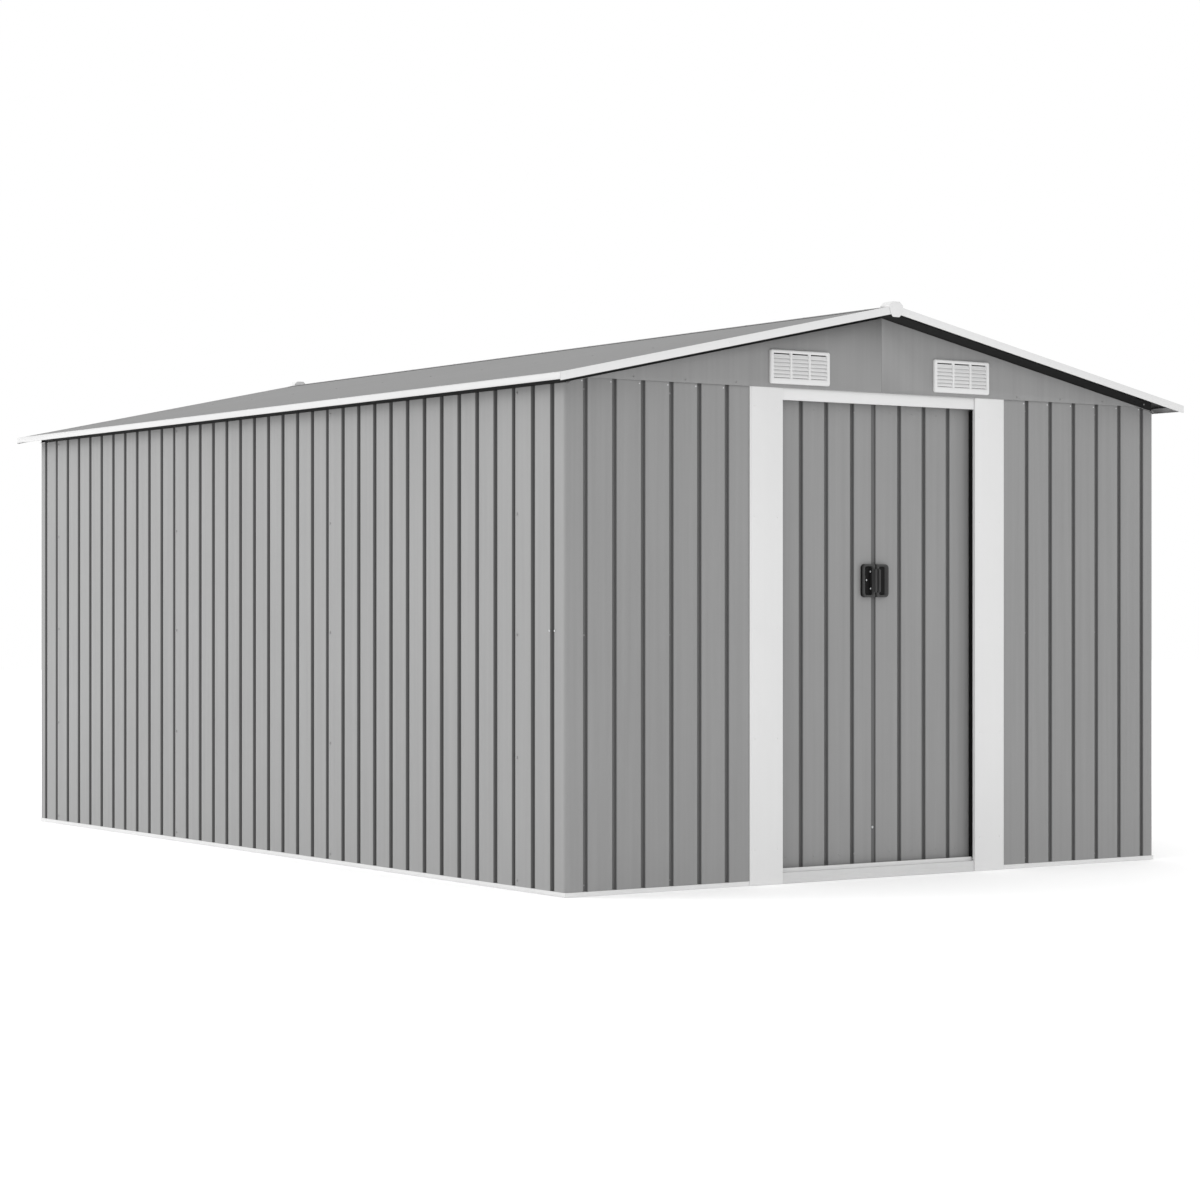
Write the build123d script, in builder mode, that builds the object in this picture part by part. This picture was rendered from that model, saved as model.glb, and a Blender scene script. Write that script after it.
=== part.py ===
"""Metal storage shed with ribbed sheet walls, a low gable roof and two sliding doors.

Millimetres. X runs along the front wall, Y along the side walls, Z up from the ground.
The origin is on the ground in the middle of the plan, and the doors are in the wall at -Y.
Depth always means the distance inward from the outer face of the nearest wall.
"""
import os
from math import cos, radians, tan

from build123d import *

# Driving dimensions
wall_width = 2400.0
wall_length = 3824.0
eave_overhang = 68.0
gable_overhang = 77.0
wall_to_roof = 32.0
roof_slope = 11.9
roof_ridge = 1808.0

sheet = 1.2
trim_sheet = 1.2
seat = 0.3

groove_depth = 11.0
groove_mouth = 16.0
groove_floor = 8.0
corner_bend = 12.0
lap_width = 20.0

side_groove_count = 36
side_groove_front = 70.0
side_groove_back = 54.0
front_groove_count = 6
front_groove_pitch = 104.3
front_groove_left = 72.5
front_groove_right = 55.0
back_groove_count = 23
back_groove_inset = 64.0
corner_grooves_side = 2
corner_grooves_back = 6
side_sheet_count = 3

base_step = 14.0
base_upstand = 46.0
base_foot = 45.0
anchor_hole = 8.0
anchor_inset = 32.0
anchor_from_end = 600.0

jamb_width = 127.0
jamb_proud = 4.2
jamb_return = 8.0
jamb_bevel = 8.0
doorway = 788.0
door_recess = 35.0
door_lap = 36.0
door_bottom = 39.5
door_rail = 40.0
door_rail_depth = 12.0
door_edge = 9.5
door_step = 5.0
door_grooves_left = (86.5, 190.8, 292.0)
door_grooves_right = (107.4, 209.6, 311.8)

header_below_gable = 36.6
header_height = 27.5
lintel_lap = 10.0
track_lip = 8.0
track_half = 1150.0
track_running_gap = 5.5
guide_rib = 3.0
guide_rise = 17.0
track_bead = 6.0
track_bead_rise = 12.0

gable_proud = 6.0
gable_lap = 16.0
gable_shelf = 40.0
gable_set_back = 8.0
vent_width = 234.0
vent_height = 106.0
vent_centre = 331.0
vent_above_gable = 64.4
vent_rise = 8.0
vent_border = 13.0
vent_border_top = 10.6
vent_border_bottom = 19.0
vent_rib = 9.0
vent_columns = 3
vent_slats = 6
vent_slat_rise = 8.0
vent_slat_inset = 1.0
vent_slat = 1.5

eave_trim_face = 20.0
eave_trim_leg = 5.0
verge_trim_face = 24.0
trim_leg = 22.0
ridge_cap_half = 48.0
ridge_end_width = 56.0
ridge_end_crown = 28.0
ridge_end_tab = 38.0
ridge_end_cut = 6.0
ridge_end_drop = 35.0
ridge_end_rise = 14.0
ridge_end_shoulder = 2.0
ridge_end_length = 45.0

rail_height = 40.0
rail_flange = 28.0
mid_rail_middle = 760.0
mid_rail_flange = 20.0
beam_width = 50.0
beam_height = 45.0
purlin_width = 30.0
purlin_height = 35.0
purlin_place = 620.0

handle_size = 105.0
handle_middle = 942.0
handle_depth = 14.0
handle_corner = 12.0
handle_gap = 5.0
handle_rim = 6.0
cup_corner = 6.0
cup_depth = 10.0
grip_width = 9.0
grip_height = 76.0
grip_round = 4.0
grip_rise = 12.0

shoe_width = 40.0
shoe_inset = 60.0
shoe_leg = 3.5
shoe_running_gap = 1.5

# Sizes that follow
half_width = wall_width / 2
half_length = wall_length / 2
rise = tan(radians(roof_slope))
roof_half_width = half_width + eave_overhang
roof_half_length = half_length + gable_overhang
roof_depth = sheet / cos(radians(roof_slope))


def roof_top(x):
    """Height of the upper face of the roof sheets at a distance x from the ridge."""
    return roof_ridge - abs(x) * rise


def roof_under(x):
    """Height of the lower face of the roof sheets at a distance x from the ridge."""
    return roof_top(x) - roof_depth


wall_top = roof_under(half_width) - seat
wall_bottom = base_step + seat
inner_face = groove_depth + sheet + seat
lap_depth = sheet + seat
gable_bottom = wall_top - gable_lap
header_bottom = gable_bottom - header_below_gable
vent_middle = gable_bottom + vent_above_gable


def gable_top(x):
    """Height of a gable sheet's upper edge, where it turns inward under the roof's overhang."""
    return roof_under(x) - seat - wall_to_roof


def sheet_limit(x):
    """Height to which the wall sheets reach under the gable sheet's turned edge."""
    return gable_top(x) - roof_depth - seat


side_top = sheet_limit(half_width)

half_doorway = doorway / 2
jamb_outer = half_doorway + jamb_width
sheet_behind_jamb = half_doorway + jamb_width / 2

side_pitch = (wall_length - side_groove_front - side_groove_back) / (side_groove_count - 1)
back_pitch = (wall_width - 2 * back_groove_inset) / (back_groove_count - 1)

leaf_end = half_doorway + door_lap
leaf_face = door_recess
leaf_back = leaf_face + groove_depth + sheet + seat
leaf_rail_back = leaf_back + door_rail_depth
leaf_top = header_bottom + track_lip
lip_face = leaf_back + track_running_gap
track_back = lip_face + door_rail_depth + sheet
rib_face = lip_face
leaf_bottom = door_bottom

os.makedirs("parts", exist_ok=True)


def save(part, label):
    """Name a finished piece and write it to its own file."""
    part.label = label
    export_step(part, "parts/" + label + ".step")


# Plan positions along the four walls, taken counter-clockwise from each wall's first corner
def on_front(distance, depth):
    return (-half_width + distance, -half_length + depth)


def on_right(distance, depth):
    return (half_width - depth, -half_length + distance)


def on_back(distance, depth):
    return (half_width - distance, half_length - depth)


def on_left(distance, depth):
    return (-half_width + depth, half_length - distance)


front_left_grooves = [front_groove_left + k * front_groove_pitch for k in range(front_groove_count)]
front_right_grooves = [
    wall_width - front_groove_right - k * front_groove_pitch for k in reversed(range(front_groove_count))
]
right_grooves = [side_groove_front + k * side_pitch for k in range(side_groove_count)]
left_grooves = [wall_length - place for place in reversed(right_grooves)]
back_grooves = [back_groove_inset + k * back_pitch for k in range(back_groove_count)]


def grooved(place, start, grooves, end=None):
    """Outer line of a ribbed sheet from start to end; without an end its last groove carries the lap."""
    half_mouth = groove_mouth / 2
    half_floor = groove_floor / 2
    line = [] if start is None else [(start, 0)]
    for centre in grooves:
        line += [(centre - half_mouth, 0), (centre - half_floor, groove_depth)]
        line += [(centre + half_floor, groove_depth), (centre + half_mouth, 0)]
    if end is not None:
        line.append((end, 0))
    else:
        foot = half_mouth - (half_mouth - half_floor) * lap_depth / groove_depth
        line[-1] = (grooves[-1] + foot, lap_depth)
        line.append((grooves[-1] + half_mouth + lap_width, lap_depth))
    return [place(distance, depth) for distance, depth in line]


def after(groove):
    """Where the next sheet starts beside the groove that carries the lap."""
    return groove + groove_mouth / 2 + seat


# The space over the wall sheets: level along the sides, and along the roof's slope in front and behind
across = Plane(origin=(0, 0, 0), x_dir=(1, 0, 0), z_dir=(0, -1, 0))
slope_start = half_width - inner_face
over_sheets = [
    (-roof_half_width, side_top),
    (-slope_start, side_top),
    (-slope_start, sheet_limit(slope_start)),
    (0, sheet_limit(0)),
    (slope_start, sheet_limit(slope_start)),
    (slope_start, side_top),
    (roof_half_width, side_top),
    (roof_half_width, roof_ridge),
    (-roof_half_width, roof_ridge),
]


def ribbed_sheet(label, points, corner=None):
    """A sheet that follows the plan line, with its corner bent round where it turns one."""
    with BuildPart() as panel:
        with BuildSketch(Plane.XY.offset(wall_bottom)):
            with BuildLine() as line:
                Polyline(*points)
                if corner:
                    turn = line.vertices().sort_by_distance((*corner, wall_bottom))[0]
                    fillet(turn, radius=corner_bend)
                offset(amount=sheet, side=Side.LEFT, closed=True, kind=Kind.INTERSECTION)
            make_face()
        extrude(amount=wall_top - wall_bottom)
        with BuildSketch(across):
            with BuildLine():
                Polyline(*over_sheets, close=True)
            make_face()
        extrude(amount=half_length, both=True, mode=Mode.SUBTRACT)
    save(panel.part, label)


# Corner sheets, each bent round one corner of the shed
side_end = side_groove_count - corner_grooves_side
back_end = back_groove_count - corner_grooves_back
ribbed_sheet(
    "corner_sheet_front_left",
    grooved(on_left, after(left_grooves[side_end - 1]), left_grooves[side_end:], wall_length)
    + grooved(on_front, None, front_left_grooves, half_width - sheet_behind_jamb),
    on_front(0, 0),
)
ribbed_sheet(
    "corner_sheet_front_right",
    grooved(on_front, half_width + sheet_behind_jamb, front_right_grooves, wall_width)
    + grooved(on_right, None, right_grooves[:corner_grooves_side]),
    on_right(0, 0),
)
ribbed_sheet(
    "corner_sheet_back_right",
    grooved(on_right, after(right_grooves[side_end - 1]), right_grooves[side_end:], wall_length)
    + grooved(on_back, None, back_grooves[:corner_grooves_back]),
    on_back(0, 0),
)
ribbed_sheet(
    "corner_sheet_back_left",
    grooved(on_back, after(back_grooves[back_end - 1]), back_grooves[back_end:], wall_width)
    + grooved(on_left, None, left_grooves[:corner_grooves_side]),
    on_left(0, 0),
)

# Flat sheets between the corner sheets
back_start = after(back_grooves[corner_grooves_back - 1])
ribbed_sheet("back_sheet", grooved(on_back, back_start, back_grooves[corner_grooves_back:back_end]))
for place, grooves, side in ((on_left, left_grooves, "left"), (on_right, right_grooves, "right")):
    for number in range(side_sheet_count):
        span = side_end - corner_grooves_side
        first = corner_grooves_side + span * number // side_sheet_count
        last = corner_grooves_side + span * (number + 1) // side_sheet_count
        ribbed_sheet(
            "side_sheet_" + side + "_" + str(number + 1),
            grooved(place, after(grooves[first - 1]), grooves[first:last]),
        )


# Base rails, folded from one strip: foot on the ground, step under the sheets, upstand behind them
from_left = Plane(origin=(-half_width, 0, 0), x_dir=(1, 0, 0), z_dir=(0, -1, 0))
from_right = Plane(origin=(half_width, 0, 0), x_dir=(-1, 0, 0), z_dir=(0, 1, 0))
from_front = Plane(origin=(0, -half_length, 0), x_dir=(0, 1, 0), z_dir=(1, 0, 0))
from_back = Plane(origin=(0, half_length, 0), x_dir=(0, -1, 0), z_dir=(-1, 0, 0))

# Each corner's mitre plane faces the side wall, so the pieces along the sides keep its upper side
mitre_front_left = Plane(origin=(-half_width, -half_length, 0), z_dir=(-1, 1, 0))
mitre_front_right = Plane(origin=(half_width, -half_length, 0), z_dir=(1, 1, 0))
mitre_back_left = Plane(origin=(-half_width, half_length, 0), z_dir=(-1, -1, 0))
mitre_back_right = Plane(origin=(half_width, half_length, 0), z_dir=(1, -1, 0))

anchor_x = half_width - anchor_inset
anchor_y = half_length - anchor_from_end


def base_rail(label, inward, start, end, foot, keep, mitres, holes=()):
    """A rail along one wall, mitred where it meets its neighbours, with anchor holes in its foot."""
    section = [(foot, 0), (0, 0), (0, base_step), (inner_face, base_step), (inner_face, base_upstand)]
    with BuildPart() as rail:
        with BuildSketch(inward.offset(start)):
            with BuildLine():
                Polyline(*section)
                offset(amount=sheet, side=Side.RIGHT, closed=True, kind=Kind.INTERSECTION)
            make_face()
        extrude(amount=end - start)
        for cut in mitres:
            split(bisect_by=cut, keep=keep)
        if holes:
            with Locations(*holes):
                Hole(radius=anchor_hole / 2, depth=2 * sheet)
    save(rail.part, label)


sides = ((from_left, "left", -1, mitre_front_left, mitre_back_left),)
sides += ((from_right, "right", 1, mitre_front_right, mitre_back_right),)
for inward, side, hand, front_mitre, back_mitre in sides:
    base_rail(
        "base_rail_" + side,
        inward,
        -half_length,
        half_length,
        base_foot,
        Keep.TOP,
        (front_mitre.offset(seat / 2), back_mitre.offset(seat / 2)),
        [(hand * anchor_x, y, sheet) for y in (-anchor_y, anchor_y)],
    )
base_rail(
    "base_rail_back",
    from_back,
    -half_width,
    half_width,
    base_foot,
    Keep.BOTTOM,
    (mitre_back_left.offset(-seat / 2), mitre_back_right.offset(-seat / 2)),
)
rail_to_doorway = half_doorway + 2 * sheet
base_rail(
    "base_rail_front_left",
    from_front,
    -half_width,
    -rail_to_doorway,
    inner_face + sheet,
    Keep.BOTTOM,
    (mitre_front_left.offset(-seat / 2),),
)
base_rail(
    "base_rail_front_right",
    from_front,
    rail_to_doorway,
    half_width,
    inner_face + sheet,
    Keep.BOTTOM,
    (mitre_front_right.offset(-seat / 2),),
)


def folded(label, strips, side=Side.RIGHT):
    """Straight strips of folded sheet in one node: each is a plane, a section line, a start and an end."""
    with BuildPart() as piece:
        for plane, points, start, end in strips:
            with BuildSketch(plane.offset(start)):
                with BuildLine():
                    Polyline(*points)
                    offset(amount=sheet, side=side, closed=True, kind=Kind.INTERSECTION)
                make_face()
            extrude(amount=end - start)
    save(piece.part, label)


# Lower door track with its front bead and guide rib, and the sill plate before it in the doorway
track_front = inner_face + sheet + seat
sill_top = door_bottom - track_running_gap
rib_top = sill_top + guide_rise
bead_top = sill_top + track_bead_rise
lower_track_line = [
    (track_front, 0),
    (track_front, bead_top),
    (track_front + track_bead, bead_top),
    (track_front + track_bead, sill_top),
    (rib_face, sill_top),
    (rib_face, rib_top),
    (rib_face + guide_rib, rib_top),
    (rib_face + guide_rib, sill_top),
    (track_back, sill_top),
    (track_back, 0),
]
folded("lower_track", [(from_front, lower_track_line, -track_half, track_half)])
sill_line = [(0, 0), (0, sill_top), (track_front - seat, sill_top)]
folded("door_sill", [(from_front, sill_line, -half_doorway + seat, half_doorway - seat)])

# Upper door track: a front plate behind the lintel, a roof and a hooked lip that carries the doors
header_top = header_bottom + header_height
header_line = [
    (inner_face, header_bottom),
    (inner_face, header_top),
    (track_back, header_top),
    (track_back, header_bottom),
    (lip_face, header_bottom),
    (lip_face, header_bottom + track_lip),
]
folded("header_track", [(from_front, header_line, -track_half, track_half)], side=Side.LEFT)

# Lintel plate between the jambs, flush with the wall, from the track's foot up behind the gable
lintel_line = [
    (inner_face - seat, header_bottom),
    (0, header_bottom),
    (0, gable_bottom + lintel_lap),
]
folded("door_lintel", [(from_front, lintel_line, -half_doorway + seat, half_doorway - seat)])

# Door jambs: a proud plate, bevelled down to the wall outside and turned inward at the doorway
for side, hand in (("left", -1), ("right", 1)):
    inner = hand * half_doorway
    outer = hand * jamb_outer
    inner_return = (inner, -half_length + jamb_return)
    outer_edge = (outer, -half_length - seat - sheet)
    front = -half_length - jamb_proud
    line = [outer_edge, (outer - hand * jamb_bevel, front), (inner, front), inner_return]
    with BuildPart() as jamb:
        with BuildSketch():
            with BuildLine():
                Polyline(*line)
                offset(
                    amount=sheet,
                    side=Side.LEFT if hand < 0 else Side.RIGHT,
                    closed=True,
                    kind=Kind.INTERSECTION,
                )
            make_face()
        extrude(amount=wall_top)
    save(jamb.part, "jamb_" + side)


# Gable sheets, two to each end, standing a little proud of the wall. The upper edge turns inward
# under the roof's overhang and rises to the roof sheets; a shelf lies over the wall's top edge
def in_wall_plane(depth, facing):
    """An upright plane along the front (-1) or back (1) wall, facing outward, with X to the right in front."""
    return Plane(
        origin=(0, facing * (half_length - depth), 0),
        x_dir=(-facing, 0, 0),
        z_dir=(0, facing, 0),
    )


vent_opening = vent_height - vent_border_top - vent_border_bottom
vent_opening_middle = vent_middle + (vent_border_bottom - vent_border_top) / 2


def gable_sheet(label, facing, hand):
    """Half a gable; hand is the side of the ridge it stands on, seen from outside."""
    inner = hand * seat / 2
    outer = hand * half_width
    shelf_rise = wall_to_roof + 2 * roof_depth + 2 * seat
    shelf_end = hand * (half_width - shelf_rise / rise)
    turned_edge = [
        (inner, gable_top(inner)),
        (outer, gable_top(outer)),
        (outer, gable_top(outer) - roof_depth),
        (inner, gable_top(inner) - roof_depth),
    ]
    upright = [
        (inner, roof_under(inner) - seat),
        (outer, roof_under(outer) - seat),
        (outer, gable_top(outer) - roof_depth),
        (inner, gable_top(inner) - roof_depth),
    ]
    with BuildPart() as gable:
        with BuildSketch(in_wall_plane(-gable_proud, facing)):
            with BuildLine():
                Polyline((inner, 0), (outer, 0), *turned_edge[1::-1], close=True)
            make_face()
            Rectangle(wall_width, 2 * gable_bottom, mode=Mode.SUBTRACT)
            with Locations((hand * vent_centre, vent_opening_middle)):
                Rectangle(vent_width - 2 * vent_border, vent_opening, mode=Mode.SUBTRACT)
        extrude(amount=-sheet)
        with BuildSketch(in_wall_plane(-gable_proud, facing)):
            with BuildLine():
                Polyline(*turned_edge, close=True)
            make_face()
        extrude(amount=-(gable_proud + gable_set_back))
        with BuildSketch(in_wall_plane(gable_set_back, facing)):
            with BuildLine():
                Polyline(*upright, close=True)
            make_face()
        extrude(amount=-sheet)
        with BuildSketch(in_wall_plane(-gable_proud, facing)):
            with Locations(((inner + shelf_end) / 2, wall_top + seat + sheet / 2)):
                Rectangle(abs(shelf_end - inner), sheet)
        extrude(amount=-gable_shelf)
    save(gable.part, label)


for end, facing in (("front", -1), ("back", 1)):
    for side, hand in (("left", -1), ("right", 1)):
        gable_sheet("gable_" + end + "_" + side, facing, hand * -facing)


# Louvred vents over the gable openings: bordered plates with columns of sloping slats
vent_window = (vent_width - 2 * vent_border - (vent_columns - 1) * vent_rib) / vent_columns
for end, facing in (("front", -1), ("back", 1)):
    face = in_wall_plane(-gable_proud - seat - vent_rise, facing)
    along = Plane(origin=face.origin, x_dir=-face.z_dir, z_dir=face.x_dir)
    with BuildPart() as vents:
        for hand in (-1, 1):
            with BuildSketch(face):
                with Locations((hand * vent_centre, vent_middle)):
                    RectangleRounded(vent_width, vent_height, vent_border / 2)
                with Locations((hand * vent_centre, vent_opening_middle)):
                    with GridLocations(vent_window + vent_rib, 0, vent_columns, 1):
                        Rectangle(vent_window, vent_opening, mode=Mode.SUBTRACT)
            extrude(amount=-vent_rise)
            slat_length = vent_width - vent_border
            for number in range(vent_slats):
                share = (number + 0.5) / vent_slats - 0.5
                middle = vent_opening_middle + share * vent_opening
                low = middle - (vent_slat_rise + vent_slat) / 2
                high = low + vent_slat_rise
                with BuildSketch(along.offset(hand * vent_centre - slat_length / 2)):
                    with BuildLine():
                        Polyline(
                            (vent_slat_inset, low),
                            (vent_rise - vent_slat_inset, high),
                            (vent_rise - vent_slat_inset, high + vent_slat),
                            (vent_slat_inset, low + vent_slat),
                            close=True,
                        )
                    make_face()
                extrude(amount=slat_length)
    save(vents.part, "vents_" + end)

# Roof sheets, one slope each
sheet_eave = roof_half_width - trim_sheet - seat
sheet_end = roof_half_length - trim_sheet - seat
for side, hand in (("left", -1), ("right", 1)):
    with BuildPart() as slope:
        with BuildSketch(across):
            with BuildLine():
                Polyline(
                    (hand * seat / 2, roof_top(seat / 2)),
                    (hand * sheet_eave, roof_top(sheet_eave)),
                    (hand * sheet_eave, roof_under(sheet_eave)),
                    (hand * seat / 2, roof_under(seat / 2)),
                    close=True,
                )
            make_face()
        extrude(amount=sheet_end, both=True)
    save(slope.part, "roof_" + side)

# White trims round the roof: channels folded over the sheet's edges, mitred at the corners
corner_mitres = {
    ("left", -1): Plane(origin=(-roof_half_width, -roof_half_length, 0), z_dir=(-1, 1, 0)),
    ("right", -1): Plane(origin=(roof_half_width, -roof_half_length, 0), z_dir=(1, 1, 0)),
    ("left", 1): Plane(origin=(-roof_half_width, roof_half_length, 0), z_dir=(-1, -1, 0)),
    ("right", 1): Plane(origin=(roof_half_width, roof_half_length, 0), z_dir=(1, -1, 0)),
}
leg_lift = (seat + trim_sheet) / cos(radians(roof_slope))
for side, hand in (("left", -1), ("right", 1)):
    eave = hand * roof_half_width
    top = roof_top(roof_half_width) + leg_lift
    with BuildPart() as eave_trim:
        with BuildSketch(across):
            with BuildLine():
                Polyline(
                    (eave - hand * trim_leg, top + trim_leg * rise),
                    (eave, top),
                    (eave, top - eave_trim_face),
                    (eave - hand * eave_trim_leg, top - eave_trim_face),
                )
                offset(
                    amount=trim_sheet,
                    side=Side.LEFT if hand < 0 else Side.RIGHT,
                    closed=True,
                    kind=Kind.INTERSECTION,
                )
            make_face()
        extrude(amount=roof_half_length, both=True)
        for end in (-1, 1):
            split(bisect_by=corner_mitres[(side, end)].offset(seat / 2), keep=Keep.TOP)
    save(eave_trim.part, "eave_trim_" + side)

slope_length = roof_half_width / cos(radians(roof_slope))


def verge_trim(side, hand, facing):
    """The trim over one slope's front or back edge, running from the ridge down to the eave."""
    fall = Plane(
        origin=(0, facing * roof_half_length, roof_ridge),
        x_dir=(0, -facing, 0),
        z_dir=(hand, 0, -rise),
    )
    up = -hand * facing
    top = up * (seat + trim_sheet)
    bottom = up * (seat + trim_sheet - verge_trim_face)
    with BuildPart() as trim:
        with BuildSketch(fall.offset(-trim_leg)):
            with BuildLine():
                Polyline((trim_leg, top), (0, top), (0, bottom), (eave_trim_leg, bottom))
                offset(
                    amount=trim_sheet,
                    side=Side.LEFT if up > 0 else Side.RIGHT,
                    closed=True,
                    kind=Kind.INTERSECTION,
                )
            make_face()
        extrude(amount=slope_length + 2 * trim_leg)
        split(bisect_by=corner_mitres[(side, facing)].offset(-seat / 2), keep=Keep.BOTTOM)
        split(bisect_by=Plane(origin=(hand * seat / 2, 0, 0), z_dir=(hand, 0, 0)), keep=Keep.TOP)
    return trim.part


for end, facing in (("front", -1), ("back", 1)):
    pair = [verge_trim("left", -1, facing), verge_trim("right", 1, facing)]
    with BuildPart() as verge_trims:
        add(pair)
    save(verge_trims.part, "verge_trims_" + end)

# Ridge cap between the gable trims, and a hood with a front tab over each of its ends
cap_lift = leg_lift
with BuildPart() as ridge_cap:
    with BuildSketch(across):
        with BuildLine():
            Polyline(
                (-ridge_cap_half, roof_top(ridge_cap_half) + cap_lift),
                (0, roof_top(0) + cap_lift),
                (ridge_cap_half, roof_top(ridge_cap_half) + cap_lift),
            )
            offset(amount=trim_sheet, side=Side.RIGHT, closed=True, kind=Kind.INTERSECTION)
        make_face()
    extrude(amount=roof_half_length - trim_leg - seat, both=True)
save(ridge_cap.part, "ridge_cap")

for end, facing in (("front", -1), ("back", 1)):
    half = ridge_end_width / 2
    shoulder = roof_ridge + ridge_end_shoulder
    crown = roof_ridge + ridge_end_rise
    hood_foot = roof_top(half) + leg_lift + seat
    foot = roof_ridge - ridge_end_drop
    outline = [
        (-half, shoulder),
        (-ridge_end_crown / 2, crown),
        (ridge_end_crown / 2, crown),
        (half, shoulder),
    ]
    tab = [
        (half, hood_foot),
        (ridge_end_tab / 2, foot + ridge_end_cut),
        (ridge_end_tab / 2 - ridge_end_cut, foot),
        (ridge_end_cut - ridge_end_tab / 2, foot),
        (-ridge_end_tab / 2, foot + ridge_end_cut),
        (-half, hood_foot),
    ]
    with BuildPart() as hood:
        with BuildSketch(in_wall_plane(-gable_overhang - trim_sheet - seat, facing)):
            with BuildLine():
                Polyline(*outline, *tab, close=True)
            make_face()
        extrude(amount=-trim_sheet)
        with BuildSketch(in_wall_plane(-gable_overhang - trim_sheet - seat, facing)):
            with BuildLine():
                Polyline((-half, hood_foot), *outline, (half, hood_foot))
                offset(amount=trim_sheet, side=Side.RIGHT, closed=True, kind=Kind.INTERSECTION)
            make_face()
        extrude(amount=-ridge_end_length)
    save(hood.part, "ridge_end_" + end)

# Rails behind the sheets, along the top and at mid height, and the beams under the roof sheets
def angle_line(top, height, flange):
    """Section of an angle rail whose upright lies against the backs of the grooves."""
    return [(inner_face, top - height), (inner_face, top), (inner_face + flange, top)]


rail_stop = half_length - inner_face - rail_flange - seat
rail_start = half_length - inner_face
cross_reach = half_width - inner_face - seat
under_eave = roof_under(half_width - inner_face) - seat
mid_rail_top = mid_rail_middle + rail_height / 2
for name, side_rail_top, cross_rail_top, side_rail_height, flange in (
    ("top_rails", under_eave, wall_top, rail_height + wall_to_roof, rail_flange),
    ("mid_rails", mid_rail_top, mid_rail_top, rail_height, mid_rail_flange),
):
    side_line = angle_line(side_rail_top, side_rail_height, flange)
    cross_line = angle_line(cross_rail_top, rail_height, flange)
    strips = [(from_left, side_line, -rail_stop, rail_start)]
    strips.append((from_right, side_line, -rail_start, rail_stop))
    strips.append((from_back, cross_line, -cross_reach, cross_reach))
    folded(name, strips)


def beam_line(place, width, height):
    """Section of a beam that is open below, its top along the roof sheets over it."""
    low = place - width / 2
    high = place + width / 2
    foot = min(roof_under(low), roof_under(high)) - height
    line = [(low, foot), (low, roof_under(low) - 2 * seat)]
    if low < 0 < high:
        line.append((0, roof_under(0) - 2 * seat))
    return line + [(high, roof_under(high) - 2 * seat), (high, foot)]


beam_end = half_length - gable_set_back - sheet - seat
folded("ridge_beam", [(across, beam_line(0, beam_width, beam_height), -beam_end, beam_end)])
purlins = [beam_line(hand * purlin_place, purlin_width, purlin_height) for hand in (-1, 1)]
folded("purlins", [(across, line, -beam_end, beam_end) for line in purlins])


# Sliding doors: ribbed leaf, channel rails behind it, running shoes and a cup handle
def leaf_line(hand, grooves):
    """Plan line of a door leaf from its meeting edge outward, as (distance from the middle, depth)."""
    half_mouth = groove_mouth / 2
    half_floor = groove_floor / 2
    back = leaf_face + sheet + door_step
    line = [(door_edge, leaf_face)]
    if hand > 0:
        line = [(-door_edge - 2 * door_step, back), (door_edge - sheet, back), (door_edge, leaf_face)]
    for centre in grooves:
        line += [(centre - half_mouth, leaf_face), (centre - half_floor, leaf_face + groove_depth)]
        line += [(centre + half_floor, leaf_face + groove_depth), (centre + half_mouth, leaf_face)]
    line.append((leaf_end, leaf_face))
    return [(hand * distance, depth - half_length) for distance, depth in line]


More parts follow.
